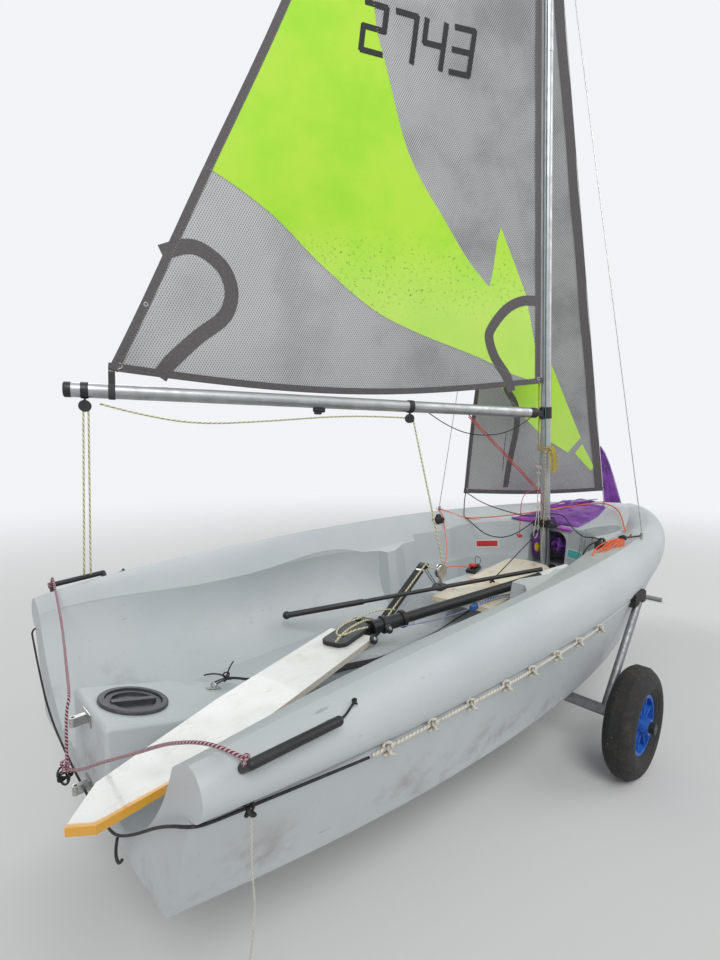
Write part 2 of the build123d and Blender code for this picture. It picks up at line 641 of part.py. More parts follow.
def rudder_stock():
    """Two cheeks bolted over the blade's head, and the socket that takes the tiller."""
    thickness = BLADE_THICKNESS + 2 * STOCK_CHEEK
    cheek = Pos(10, 0, 0) * Box(STOCK_LENGTH, STOCK_WIDTH, thickness)
    cheek = fillet(cheek.edges().filter_by(Axis.Z), 34)
    cheek = chamfer(cheek.edges().group_by(Axis.Z)[-1], 3)
    slot = Pos(110, 0, 0) * Box(260, BLADE_WIDTH + 20, BLADE_THICKNESS + 2 * SEAT_GAP)
    bosses = [Pos(x, y, thickness / 2) * Cylinder(11, 10) for x, y in ((-84, 22), (-84, -22), (70, 0))]
    head = lying_plane(BLADE_HEEL, BLADE_TIP, BLADE_TILT) * (cheek - slot + bosses)
    along = (TILLER_TIP - STOCK_HEAD).normalized()
    socket = rod(STOCK_HEAD - along * 60, STOCK_HEAD + along * 80, TILLER_RADIUS + 6)
    collars = [rod(STOCK_HEAD + along * at, STOCK_HEAD + along * (at + 14), TILLER_RADIUS + 13) for at in (-20, 62)]
    return head + socket + collars - rod(STOCK_HEAD, STOCK_HEAD + along * 200, TILLER_RADIUS + RING_FIT)


def tiller():
    along = (TILLER_TIP - STOCK_HEAD).normalized()
    return rod(STOCK_HEAD + along * SEAT_GAP, TILLER_TIP, TILLER_RADIUS)


def tiller_wrap():
    along = (TILLER_TIP - STOCK_HEAD).normalized()
    sleeve = rod(TILLER_TIP - along * GRIP_LENGTH, TILLER_TIP, WRAP_RADIUS)
    return sleeve - rod(STOCK_HEAD, TILLER_TIP + along * 10, TILLER_RADIUS + RING_FIT)


def tiller_extension():
    """Light stick laid across the tiller, with a thicker grip at its far end."""
    tiller_along = (TILLER_TIP - STOCK_HEAD).normalized()
    crossing = STOCK_HEAD + tiller_along * EXTENSION_AT
    out = tiller_along.cross(EXTENSION_END - crossing).normalized()
    head = crossing + out * (WRAP_RADIUS + SEAT_GAP + EXTENSION_RADIUS)
    along = (EXTENSION_END - head).normalized()
    grip_start = EXTENSION_END - along * EXTENSION_GRIP_LENGTH
    return rod(head, grip_start, EXTENSION_RADIUS) + rod(grip_start, EXTENSION_END, EXTENSION_GRIP_RADIUS)


def daggerboard():
    length = (BOARD_TIP - BOARD_HEEL).length
    outline = Pos(length / 2, 0) * Rectangle(length, BOARD_WIDTH)
    starboard_tip = outline.vertices().group_by(Axis.X)[-1].sort_by(Axis.Y)[0]
    outline = fillet([starboard_tip], BOARD_WIDTH * 0.62)
    port_tip = outline.vertices().group_by(Axis.X)[-1].sort_by(Axis.Y)[-1]
    outline = fillet([port_tip], BOARD_WIDTH * 0.22)
    return lying_plane(BOARD_HEEL, BOARD_TIP) * extrude(outline, amount=BOARD_THICKNESS / 2, both=True)


# Cockpit fittings
def ribbon(points):
    path = Polyline(*points)
    first = Vector(*points[0])
    start = Plane(origin=first, x_dir=(0, 1, 0), z_dir=(Vector(*points[1]) - first).normalized())
    return sweep(start * Rectangle(STRAP_WIDTH, STRAP_THICKNESS), path, transition=Transition.RIGHT)


def sheet_base():
    dome = Pos(SHEET_BASE_X, SHEET_BASE_Y, CASE_Z + SEAT_GAP) * Cylinder(
        38, SHEET_BASE_HEIGHT, align=(Align.CENTER, Align.CENTER, Align.MIN))
    return fillet(dome.edges().group_by(Axis.Z)[-1], 12)


def ratchet_block():
    """Sheave block that stands over the base on its spring."""
    foot = Pos(SHEET_BASE_X, SHEET_BASE_Y, CASE_Z + SHEET_BASE_HEIGHT + 2 * SEAT_GAP)
    stem = foot * Cylinder(9, 36, align=(Align.CENTER, Align.CENTER, Align.MIN))
    centre = foot * Pos(0, 0, 62) * Rot(90, 0, 35)
    cheeks = centre * (Cylinder(31, 24) - (Cylinder(34, 10) - Cylinder(22, 10)))
    return stem + cheeks


def gudgeon(z, reach):
    """Rudder fitting on the transom: a plate and an eye for the pintle."""
    plate = Pos(-SEAT_GAP, 0, z) * Box(3, 60, 34, align=(Align.MAX, Align.CENTER, Align.CENTER))
    arm = Pos(-SEAT_GAP, 0, z) * Box(reach, 15, 24, align=(Align.MAX, Align.CENTER, Align.CENTER))
    eye = Pos(-reach, 0, z) * Cylinder(8, 24)
    return plate + arm + eye - Pos(-reach, 0, z) * Cylinder(PINTLE_RADIUS, 40)


def quarter_handle(hull):
    """Tubular grip on the shoulder of the rolled edge, near the transom, with its two ends turned down."""
    grip = rod(GRAB_AFT, GRAB_FORE, GRAB_RADIUS)
    for x, y, z in (GRAB_AFT, GRAB_FORE):
        grip = grip + Pos(x, y, z) * Sphere(GRAB_RADIUS) + rod((x, y, z), (x, y - 30, z - 22), GRAB_RADIUS)
    return grip - Pos(0, SEAT_GAP, 0) * hull - Pos(0, 0, SEAT_GAP) * hull


def jib_fairlead(hull):
    """Low block screwed to the side deck, with an eye for the sheet."""
    x, y, z = FAIRLEAD
    top = z + 34
    base = Pos(x, y, z) * Box(64, 40, 60)
    base = fillet(base.edges().group_by(Axis.Z)[-1], 7)
    eye = Pos(x, y, top) * Rot(0, 90, 0) * Cylinder(2 * FAIRLEAD_EYE, 16)
    body = base + eye - Pos(x, y, top) * Rot(0, 90, 0) * Cylinder(FAIRLEAD_EYE, 80)
    return body - Pos(0, 0, SEAT_GAP) * hull


def stay_fitting():
    """Plate on the foredeck with the tang of the forestay and the jib's tack."""
    x, y, z = STAY_FOOT
    base_z = 522
    plate = Pos(x + 14, 0, base_z + 0.5) * Box(90, 26, 4, align=(Align.CENTER, Align.CENTER, Align.MIN))
    tang = Pos(x, 0, base_z + 1) * Box(26, 5, z + 12 - base_z, align=(Align.CENTER, Align.CENTER, Align.MIN))
    return plate + tang - forestay()


def gennaker_bag(hull):
    """Soft fabric cover on the foredeck, over the mouth of the space below."""
    slope = radians(BAG_SLOPE)
    plane = Plane(origin=BAG_PLACE, x_dir=(cos(slope), 0, sin(slope)), z_dir=(-sin(slope), 0, cos(slope)))
    cover = plane * extrude(make_face(Polyline(*BAG_OUTLINE, close=True)), amount=BAG_HEIGHT)
    return cover - Pos(0, 0, SEAT_GAP) * hull


def bag_pouch(hull):
    """Soft pouch that hangs in the port half of the opening behind the mast."""
    pouch = Pos(*POUCH_PLACE) * Box(*POUCH_SIZE)
    return fillet(pouch.edges().filter_by(Axis.X), 24) - Pos(0, 0, -SEAT_GAP) * hull


# Trolley
def tyre():
    half = TYRE_WIDTH / 2
    inner = RIM_RADIUS - 8
    profile = Wire([
        Line((-half + 14, inner), (-half, inner + 26)),
        ThreePointArc((-half, inner + 26), (-half + 10, TYRE_RADIUS - 16), (-half + 34, TYRE_RADIUS)),
        Line((-half + 34, TYRE_RADIUS), (half - 34, TYRE_RADIUS)),
        ThreePointArc((half - 34, TYRE_RADIUS), (half - 10, TYRE_RADIUS - 16), (half, inner + 26)),
        Line((half, inner + 26), (half - 14, inner)),
        Line((half - 14, inner), (-half + 14, inner)),
    ])
    ring = revolve(make_face(profile), axis=Axis.X)
    return Pos(WHEEL_X, WHEEL_Y, AXLE_Z) * Rot(0, 0, 90) * ring


def wheel_hub():
    """Moulded wheel centre: hub and rim with a web between them."""
    half = TYRE_WIDTH / 2
    bore = STUB_RADIUS + PIN_FIT
    rim_outer = RIM_RADIUS - 8 - RING_FIT
    rim_inner = rim_outer - 12
    profile = Polyline(
        (-half - 4, bore), (-half - 4, 28), (-12, 34), (-12, rim_inner), (-half + 16, rim_inner),
        (-half + 16, rim_outer), (half - 16, rim_outer), (half - 16, rim_inner), (12, rim_inner), (12, 34),
        (half + 4, 28), (half + 4, bore), close=True)
    ring = revolve(make_face(profile), axis=Axis.X)
    return Pos(WHEEL_X, WHEEL_Y, AXLE_Z) * Rot(0, 0, 90) * ring


def axle_beam():
    beam = rod((WHEEL_X, -BEAM_HALF, AXLE_Z), (WHEEL_X, BEAM_HALF, AXLE_Z), BEAM_RADIUS)
    end = WHEEL_Y + TYRE_WIDTH / 2 + 4 + 12
    stubs = rod((WHEEL_X, -end, AXLE_Z), (WHEEL_X, end, AXLE_Z), STUB_RADIUS)
    return beam + stubs


def axle_cap():
    start = WHEEL_Y + TYRE_WIDTH / 2 + 4 + SEAT_GAP
    cap = rod((WHEEL_X, start, AXLE_Z), (WHEEL_X, start + 18, AXLE_Z), 20)
    return cap - rod((WHEEL_X, start - 1, AXLE_Z), (WHEEL_X, start + 12, AXLE_Z), STUB_RADIUS + RING_FIT)


def drawbar_z(x):
    """Height of the drawbar's axis: it falls from the axle to the handle on the ground."""
    start_x = WHEEL_X + BEAM_RADIUS
    start_z = AXLE_Z - 6
    end_z = GROUND_Z + HANDLE_RADIUS
    return start_z + (x - start_x) / (HANDLE_X - start_x) * (end_z - start_z)


def drawbar():
    start_x = WHEEL_X
    end_x = HANDLE_X - HANDLE_RADIUS
    bar = rod((start_x, 0, drawbar_z(start_x)), (end_x, 0, drawbar_z(end_x)), DRAWBAR_RADIUS)
    bar = bar - rod((WHEEL_X, -200, AXLE_Z), (WHEEL_X, 200, AXLE_Z), BEAM_RADIUS + RING_FIT)
    floor_cut = Pos(HANDLE_X, 0, GROUND_Z) * Box(1200, 200, 60, align=(Align.CENTER, Align.CENTER, Align.MAX))
    front = [s for s in (bar - floor_cut).solids() if s.center().X > WHEEL_X + 100]
    handle_room = rod((HANDLE_X, -200, GROUND_Z + HANDLE_RADIUS), (HANDLE_X, 200, GROUND_Z + HANDLE_RADIUS),
                      HANDLE_RADIUS + RING_FIT)
    return front[0] - handle_room


def drawbar_room():
    """The drawbar with its clearance, for the pieces that sit on it."""
    return rod((WHEEL_X, 0, drawbar_z(WHEEL_X)), (HANDLE_X, 0, drawbar_z(HANDLE_X)), DRAWBAR_RADIUS + RING_FIT)


def trolley_handle():
    z = GROUND_Z + HANDLE_RADIUS
    return rod((HANDLE_X, -HANDLE_HALF, z), (HANDLE_X, HANDLE_HALF, z), HANDLE_RADIUS)


def support_line():
    return (WHEEL_X + 12, SUPPORT_FOOT_Y, AXLE_Z), (SUPPORT_X, SUPPORT_Y, SUPPORT_TOP_Z)


def support_post():
    """Upright from the axle beam to the pad under the gunwale."""
    post = rod(*support_line(), SUPPORT_RADIUS)
    return post - rod((WHEEL_X, 0, AXLE_Z), (WHEEL_X, BEAM_HALF + 50, AXLE_Z), BEAM_RADIUS + RING_FIT)


def support_pad(hull):
    """Padded block that takes the roll of the gunwale."""
    block = Pos(SUPPORT_X, SUPPORT_Y - 26, SUPPORT_TOP_Z + 16) * Box(PAD_LENGTH, 72, 54)
    block = fillet(block.edges().filter_by(Axis.X), 10)
    return block - Pos(0, 0, -SEAT_GAP) * hull - Pos(0, SEAT_GAP, 0) * hull - rod(
        *support_line(), SUPPORT_RADIUS + RING_FIT)


def keel_pad():
    """Rubber block between the axle beam and the keel."""
    top = HULL_STATIONS[3]["keel"] - 1.5
    block = Pos(WHEEL_X, 0, AXLE_Z) * Box(80, 150, top - AXLE_Z, align=(Align.CENTER, Align.CENTER, Align.MIN))
    beam_room = rod((WHEEL_X, -200, AXLE_Z), (WHEEL_X, 200, AXLE_Z), BEAM_RADIUS + RING_FIT)
    return block - beam_room - drawbar_room()


def bow_post():
    low = drawbar_z(BOW_POST_X)
    post = rod((BOW_POST_X, 0, low), (BOW_POST_X, 0, BOW_POST_TOP), BOW_POST_RADIUS)
    return [s for s in (post - drawbar_room()).solids() if s.center().Z > low][0]


def bow_chock(hull):
    """Vee of rubber on the bow post, cut to the forefoot."""
    block = Pos(BOW_POST_X, 0, BOW_POST_TOP + SEAT_GAP) * Box(
        110, 250, CHOCK_TOP - BOW_POST_TOP, align=(Align.CENTER, Align.CENTER, Align.MIN))
    block = fillet(block.edges().filter_by(Axis.X).group_by(Axis.Z)[0], 40)
    return block - Pos(0, 0, -SEAT_GAP) * hull


def main():
    os.makedirs("parts", exist_ok=True)
    hull = build_hull()
    nodes = {
        "hull": hull,
        "hatch_ring": hatch_ring(),
        "hatch_lid": hatch_lid(),
        "gudgeon_upper": gudgeon(UPPER_GUDGEON_Z, GUDGEON_REACH),
        "gudgeon_lower": gudgeon(LOWER_GUDGEON_Z, GUDGEON_REACH),
        "bow_ring": bow_ring(),
        "gennaker_pole": gennaker_pole(),
        "gennaker_bag": gennaker_bag(hull),
        "bag_pouch": bag_pouch(hull),
        "stay_fitting": stay_fitting(),
        "toe_straps": Compound(children=[ribbon(STRAP_PORT), ribbon(STRAP_STARBOARD)]),
        "mainsheet_base": sheet_base(),
        "ratchet_block": ratchet_block(),
        "mast_foot": mast_foot(),
        "mast_gate": mast_gate(hull),
        "mast_lower": mast_piece(0, MAST_JOINT_AT),
        "mast_upper": mast_piece(MAST_JOINT_AT + SEAT_GAP, MAST_LENGTH),
        "mast_collar": mast_collar(),
        "masthead": masthead(),
        "gooseneck": gooseneck(),
        "hounds": hounds(),
        "forestay": forestay(),
        "jib": jib(),
        "boom": boom_tube(),
        "boom_head": boom_head(),
        "boom_cap": boom_cap(),
        "boom_blocks": Compound(children=[boom_block(END_BLOCK_AT), boom_block(MIDDLE_BLOCK_AT)]),
        "mainsail": mainsail(),
        "clew_strap": clew_strap(),
        "rudder_blade": rudder_blade(),
        "rudder_stock": rudder_stock(),
        "tiller": tiller(),
        "tiller_wrap": tiller_wrap(),
        "tiller_extension": tiller_extension(),
        "daggerboard": daggerboard(),
        "axle_beam": axle_beam(),
        "keel_pad": keel_pad(),
        "drawbar": drawbar(),
        "trolley_handle": trolley_handle(),
        "bow_post": bow_post(),
        "bow_chock": bow_chock(hull),
    }
    fixed_pairs = {
        "shrouds": shroud(),
        "chainplates": chainplate() - Pos(0, 0, SEAT_GAP) * hull - shroud(),
        "quarter_handles": quarter_handle(hull),
        "jib_fairleads": jib_fairlead(hull),
        "support_posts": support_post(),
        "support_pads": support_pad(hull),
        "axle_caps": axle_cap(),
    }
    for name, shape in fixed_pairs.items():
        nodes[name] = Compound(children=both_sides(shape))
    turning_pairs = {"wheel_tyre": tyre(), "wheel_hub": wheel_hub()}
    for name, shape in turning_pairs.items():
        nodes[f"{name}_port"], nodes[f"{name}_starboard"] = both_sides(shape)
    boxes = [shape.bounding_box() for shape in nodes.values()]
    middle_x = (min(b.min.X for b in boxes) + max(b.max.X for b in boxes)) / 2
    place = Pos(-middle_x, 0, -GROUND_Z)
    for name, shape in nodes.items():
        print(name, shape.is_valid, len(shape.solids()), round(shape.volume / 1e6, 3))
        export_step(place * shape, f"parts/{name}.step")
    print("origin lies at x", round(middle_x, 3), "and z", GROUND_Z, "of the boat's frame")


main()
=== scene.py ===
# Sailing dinghy with a rotomoulded hull, rigged and standing on its launching trolley.
# Metres, in the frame of the CAD model: +X to the bow, +Y to port, +Z up from the ground.
import json
from math import atan2, cos, pi, radians, sin, sqrt

import bmesh
import bpy
from mathutils import Matrix, Vector
from mathutils.bvhtree import BVHTree
from mathutils.geometry import delaunay_2d_cdt


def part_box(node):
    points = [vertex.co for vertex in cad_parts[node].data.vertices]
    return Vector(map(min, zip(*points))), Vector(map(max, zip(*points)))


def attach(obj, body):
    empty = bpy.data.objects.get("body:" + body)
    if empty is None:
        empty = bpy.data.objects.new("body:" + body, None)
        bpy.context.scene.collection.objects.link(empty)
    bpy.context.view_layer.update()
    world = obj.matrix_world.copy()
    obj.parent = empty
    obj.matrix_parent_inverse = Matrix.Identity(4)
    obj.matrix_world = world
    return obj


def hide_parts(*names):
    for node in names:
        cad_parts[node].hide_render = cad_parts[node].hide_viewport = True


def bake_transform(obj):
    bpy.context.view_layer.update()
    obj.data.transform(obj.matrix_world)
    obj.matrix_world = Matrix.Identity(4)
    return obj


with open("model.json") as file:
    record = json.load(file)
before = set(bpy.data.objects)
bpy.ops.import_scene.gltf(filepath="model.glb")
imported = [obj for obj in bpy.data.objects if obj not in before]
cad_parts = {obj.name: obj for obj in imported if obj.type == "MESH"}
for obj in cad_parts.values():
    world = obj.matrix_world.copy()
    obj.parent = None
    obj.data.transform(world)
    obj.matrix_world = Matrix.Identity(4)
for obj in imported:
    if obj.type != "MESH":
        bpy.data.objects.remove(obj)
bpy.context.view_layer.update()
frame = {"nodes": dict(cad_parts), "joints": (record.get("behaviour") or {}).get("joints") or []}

nodes = frame["nodes"]
UP = Vector((0, 0, 1))
AHEAD = Vector((1, 0, 0))
TO_PORT = Vector((0, 1, 0))


# Hull: one rotational moulding in light grey polyethylene, with a rolled edge, a cockpit and a centre
# case. The skin is slightly pebbled from the mould, and it is scuffed and dusty where feet and ropes go.
class Flow:
    """A node's output that takes part in arithmetic: each operation adds its Math node."""

    def __init__(self, finish, socket):
        self.finish = finish
        self.socket = socket

    def maths(self, operation, *values):
        return self.finish.node("ShaderNodeMath", {"operation": operation}, dict(enumerate(values)))

    def __add__(self, other):
        return self.maths("ADD", self, other)

    def __sub__(self, other):
        return self.maths("SUBTRACT", self, other)

    def __rsub__(self, other):
        return self.maths("SUBTRACT", other, self)

    def __mul__(self, other):
        return self.maths("MULTIPLY", self, other)

    def __truediv__(self, other):
        return self.maths("DIVIDE", self, other)

    def __gt__(self, other):
        return self.maths("GREATER_THAN", self, other)

    def __lt__(self, other):
        return self.maths("LESS_THAN", self, other)

    def __mod__(self, other):
        return self.maths("FLOORED_MODULO", self, other)

    def __abs__(self):
        return self.maths("ABSOLUTE", self)

    __radd__ = __add__
    __rmul__ = __mul__


class Finish:
    """A material round one Principled shader; what varies over the surface is linked to its sockets."""

    def __init__(self, name, **fixed):
        self.material = bpy.data.materials.new(name)
        self.material.use_nodes = True
        self.tree = self.material.node_tree
        self.shader = self.tree.nodes["Principled BSDF"]
        for socket, value in fixed.items():
            self.shader.inputs[socket.replace("_", " ")].default_value = value

    def node(self, kind, settings=None, values=None, output=0):
        made = self.tree.nodes.new(kind)
        for key, value in (settings or {}).items():
            setattr(made, key, value)
        for key, value in (values or {}).items():
            self.feed(made.inputs[key], value)
        return Flow(self, made.outputs[output])

    def feed(self, socket, value):
        if isinstance(value, Flow):
            self.tree.links.new(value.socket, socket)
        else:
            socket.default_value = value

    def place(self, source="Object"):
        """Coordinates on the object, or its own UV map."""
        return self.node("ShaderNodeTexCoord", output=source)

    def axis(self, index, source="Object"):
        return self.node("ShaderNodeSeparateXYZ", values={0: self.place(source)}, output=index)

    def noise(self, scale, detail=2.0, roughness=0.5, source="Object", stretch=None):
        where = self.place(source)
        if stretch:
            where = self.node("ShaderNodeVectorMath", {"operation": "MULTIPLY"}, {0: where, 1: stretch})
        return self.node("ShaderNodeTexNoise", values={"Vector": where, "Scale": scale, "Detail": detail,
                                                       "Roughness": roughness})

    def ramp(self, factor, low, high, start=0.0, end=1.0):
        """Factor carried smoothly from one number to another between two of its values."""
        return self.node("ShaderNodeMapRange", {"interpolation_type": "SMOOTHSTEP"},
                         {0: factor, 1: low, 2: high, 3: start, 4: end})

    def mix(self, factor, first, second):
        """Blend of two colours."""
        return self.node("ShaderNodeMix", {"data_type": "RGBA"}, {0: factor, 6: first, 7: second}, output=2)

    def bump(self, height, strength=0.3, distance=0.001):
        self.feed(self.shader.inputs["Normal"], self.node("ShaderNodeBump",
                                                          values={"Strength": strength,
                                                                  "Distance": distance,
                                                                  "Height": height}))

    def set(self, socket, value):
        self.feed(self.shader.inputs[socket], value)

    def dress(self, *pieces):
        for piece in pieces:
            piece.data.materials.clear()
            piece.data.materials.append(self.material)


def colour(red, green, blue):
    """Colour given as it looks on a screen, 0 to 255, turned to the shader's linear numbers."""
    return tuple((c / 255 / 12.92 if c < 10 else ((c / 255 + 0.055) / 1.055) ** 2.4)
                 for c in (red, green, blue)) + (1,)


hull_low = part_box("hull")[0]


def at(x, y, z):
    """A point of the boat: x forward of the transom, y to port, z above the lowest point of the keel."""
    return Vector((hull_low[0] + x, y, hull_low[2] + z))


def hull_finish():
    finish = Finish("hull_plastic", Roughness=0.42)
    cloud = finish.noise(1.7, 4.0)
    tint = finish.mix(finish.ramp(cloud, 0.35, 0.7), colour(196, 201, 203), colour(186, 192, 195))
    height = finish.axis(2)
    speck = finish.noise(70.0, 3.0, 0.7)
    patch = finish.noise(4.5, 5.0, 0.65)
    floor_height = hull_low[2] + 0.16
    low_share = finish.ramp(height, floor_height + 0.16, floor_height - 0.03)
    grime = finish.ramp(patch, 0.52, 0.75) * low_share * 0.55 + finish.ramp(speck, 0.66, 0.74) * 0.35
    dirty = finish.mix(grime, tint, colour(122, 112, 98))
    streak = finish.noise(9.0, 4.0, 0.6, stretch=(1.0, 6.0, 6.0))
    scuff = finish.ramp(streak, 0.69, 0.76) * 0.4
    finish.set("Base Color", finish.mix(scuff, dirty, colour(96, 98, 100)))
    finish.set("Roughness", finish.ramp(patch, 0.3, 0.7, 0.36, 0.5))
    finish.bump(finish.noise(420.0, 2.0) + finish.noise(90.0, 2.0) * 0.6, 0.22, 0.0006)
    return finish


hull_finish().dress(nodes["hull"])


# Round inspection hatch on the console and the black moulded fittings: fibre-filled nylon, injection
# moulded, satin and a little faded, with fine scratches.
def moulded_finish(name, base, roughness=0.45):
    finish = Finish(name)
    worn = finish.noise(38.0, 4.0, 0.65)
    finish.set("Base Color", finish.mix(finish.ramp(worn, 0.45, 0.75) * 0.5, base,
                                        tuple(c * 1.9 + 0.015 for c in base[:3]) + (1,)))
    finish.set("Roughness", finish.ramp(worn, 0.3, 0.7, roughness - 0.08, roughness + 0.12))
    finish.bump(finish.noise(900.0, 2.0), 0.2, 0.0003)
    return finish


black_plastic = moulded_finish("black_plastic", colour(28, 28, 30))
grey_plastic = moulded_finish("grey_plastic", colour(62, 64, 68), 0.4)
grey_plastic.dress(nodes["hatch_ring"], nodes["hatch_lid"])
black_plastic.dress(*(nodes[n] for n in (
    "bow_ring", "mainsheet_base", "mast_foot", "mast_gate", "masthead", "gooseneck", "boom_head",
    "boom_cap", "boom_blocks", "rudder_stock", "tiller", "tiller_extension", "jib_fairleads", "axle_caps",
    "quarter_handles", "gennaker_pole")))


# Metal: stainless steel wire and fittings, clear anodised aluminium spars, and galvanised trolley tube,
# drawn and bent, with streaks along the tubes and spangle on the zinc.
def metal_finish(name, base, roughness, grain, metallic=1.0):
    finish = Finish(name, Metallic=metallic)
    cloud = finish.noise(grain, 3.0, 0.6)
    finish.set("Base Color", finish.mix(finish.ramp(cloud, 0.35, 0.7), base,
                                        tuple(c * 0.8 for c in base[:3]) + (1,)))
    finish.set("Roughness", finish.ramp(cloud, 0.3, 0.7, roughness - 0.07, roughness + 0.1))
    return finish


stainless = metal_finish("stainless", colour(188, 188, 186), 0.28, 60.0)
stainless.dress(*(nodes[n] for n in ("gudgeon_upper", "gudgeon_lower", "stay_fitting", "ratchet_block",
                                     "hounds", "forestay", "shrouds", "chainplates")))
spar = metal_finish("anodised_spar", colour(186, 188, 190), 0.36, 14.0, 0.85)
spar.dress(*(nodes[n] for n in ("mast_lower", "mast_upper", "mast_collar", "boom")))
zinc = metal_finish("galvanised", colour(150, 153, 156), 0.5, 45.0, 0.8)
zinc.dress(*(nodes[n] for n in ("axle_beam", "drawbar", "trolley_handle", "bow_post", "support_posts")))


# Rudder blade, daggerboard and the tiller with its grip: foam foils in glass-fibre skins, gelcoated white
# and cream, chipped and stained, and a tube in black foam whose end is bound with white tape.
def gelcoat_finish(name, base, stain, amount, tip=None):
    finish = Finish(name, Coat_Weight=0.25, IOR=1.5)
    cloud = finish.noise(7.0, 5.0, 0.7)
    drag = finish.noise(14.0, 4.0, 0.65, stretch=(1.0, 4.0, 4.0))
    rust = finish.noise(11.0, 4.0, 0.65, stretch=(0.6, 1.6, 1.0))
    tone = finish.mix(finish.ramp(cloud, 0.5, 0.72) * amount, base, stain)
    tone = finish.mix(finish.ramp(rust, 0.58, 0.68) * (amount * amount), tone, colour(196, 122, 66))
    tone = finish.mix(finish.ramp(drag, 0.62, 0.75) * 0.5, tone, colour(150, 132, 104))
    if tip:
        edges = []
        for corner, outward in ((at(0.338, -0.316, 0), Vector((0.291, -0.957, 0))),
                                (at(0.085, -0.379, 0), Vector((0.105, -0.994, 0))),
                                (at(-0.095, -0.398, 0), Vector((-0.631, -0.775, 0)))):
            reach = finish.node("ShaderNodeVectorMath", {"operation": "DOT_PRODUCT"},
                                {0: finish.place(), 1: outward}, output="Value")
            edges.append(reach - corner.dot(outward))
        tone = finish.mix(finish.ramp(edges[0], -0.003, -0.001) * 0.45, tone, colour(150, 122, 84))
        far = finish.ramp(finish.axis(0) + cloud * 0.03, at(0.12, 0, 0).x, at(0.04, 0, 0).x)
        worn = finish.ramp(edges[1] + cloud * 0.008, -0.010,
                           -0.002) + finish.ramp(edges[2] + cloud * 0.008, -0.010, -0.002)
        tone = finish.mix(worn * far, tone, tip)
    finish.set("Base Color", tone)
    finish.set("Roughness", finish.ramp(cloud, 0.3, 0.7, 0.26, 0.48))
    finish.bump(finish.noise(55.0, 3.0), 0.15, 0.0006)
    return finish


gelcoat_finish("blade_gelcoat", colour(233, 234, 232), colour(206, 196, 170), 0.3,
               colour(226, 166, 58)).dress(nodes["rudder_blade"])
gelcoat_finish("board_gelcoat", colour(226, 218, 196), colour(186, 138, 84),
               0.85).dress(nodes["daggerboard"])

# A line through the tiller, for what is wound or moulded round it
tiller_tip, tiller_root = at(1.890, -0.378, 0.402), at(0.985, -0.112, 0.300)
tiller_axis = (tiller_tip - tiller_root).normalized()


def turned_finish(name, axis, pitch, base, groove, depth, lean=0.0):
    """Rings or turns of tape along a tube, spaced by the pitch, with a noise that makes them uneven."""
    finish = Finish(name, Roughness=0.62)
    distance = finish.node("ShaderNodeVectorMath", {"operation": "DOT_PRODUCT"},
                           {0: finish.place(), 1: axis}, output="Value")
    wander = finish.noise(30.0, 2.0) * 0.006
    turn = abs((distance + wander + finish.axis(2) * lean) / pitch % 1.0 - 0.5) * 2
    worn = finish.noise(60.0, 4.0, 0.7)
    tone = finish.mix(finish.ramp(turn, 0.8, 1.0) * 0.6, base, groove)
    finish.set("Base Color", finish.mix(finish.ramp(worn, 0.55, 0.75) * 0.35, tone, groove))
    finish.bump(finish.ramp(turn, 1.0, 0.7) + worn * 0.3, 0.5, depth)
    return finish


turned_finish("white_tape", tiller_axis, 0.024, colour(228, 228, 224), colour(168, 166, 160), 0.002,
              0.25).dress(nodes["tiller_wrap"])


# Trolley wheels: pneumatic tyres with a block tread on blue nylon centres, each a hub and a rim joined by a
# web with moulded ribs, and rubber pads where the boat rests.
def rubber_finish():
    finish = Finish("tyre_rubber")
    dust = finish.noise(16.0, 5.0, 0.7)
    speck = finish.noise(140.0, 2.0, 0.7)
    tone = finish.mix(finish.ramp(dust, 0.45, 0.75) * 0.45, colour(30, 30, 31), colour(96, 88, 74))
    finish.set("Base Color", finish.mix(finish.ramp(speck, 0.68, 0.74) * 0.7, tone, colour(168, 152, 108)))
    finish.set("Roughness", finish.ramp(dust, 0.3, 0.7, 0.7, 0.92))
    finish.bump(finish.noise(300.0, 3.0) + dust, 0.35, 0.0008)
    return finish


tyre_rubber = rubber_finish()
tyre_rubber.dress(*(nodes[n] for n in ("wheel_tyre_port", "wheel_tyre_starboard", "keel_pad", "bow_chock",
                                       "support_pads")))
wheel_blue = moulded_finish("wheel_blue", colour(34, 92, 176), 0.38)
wheel_blue.dress(nodes["wheel_hub_port"], nodes["wheel_hub_starboard"])


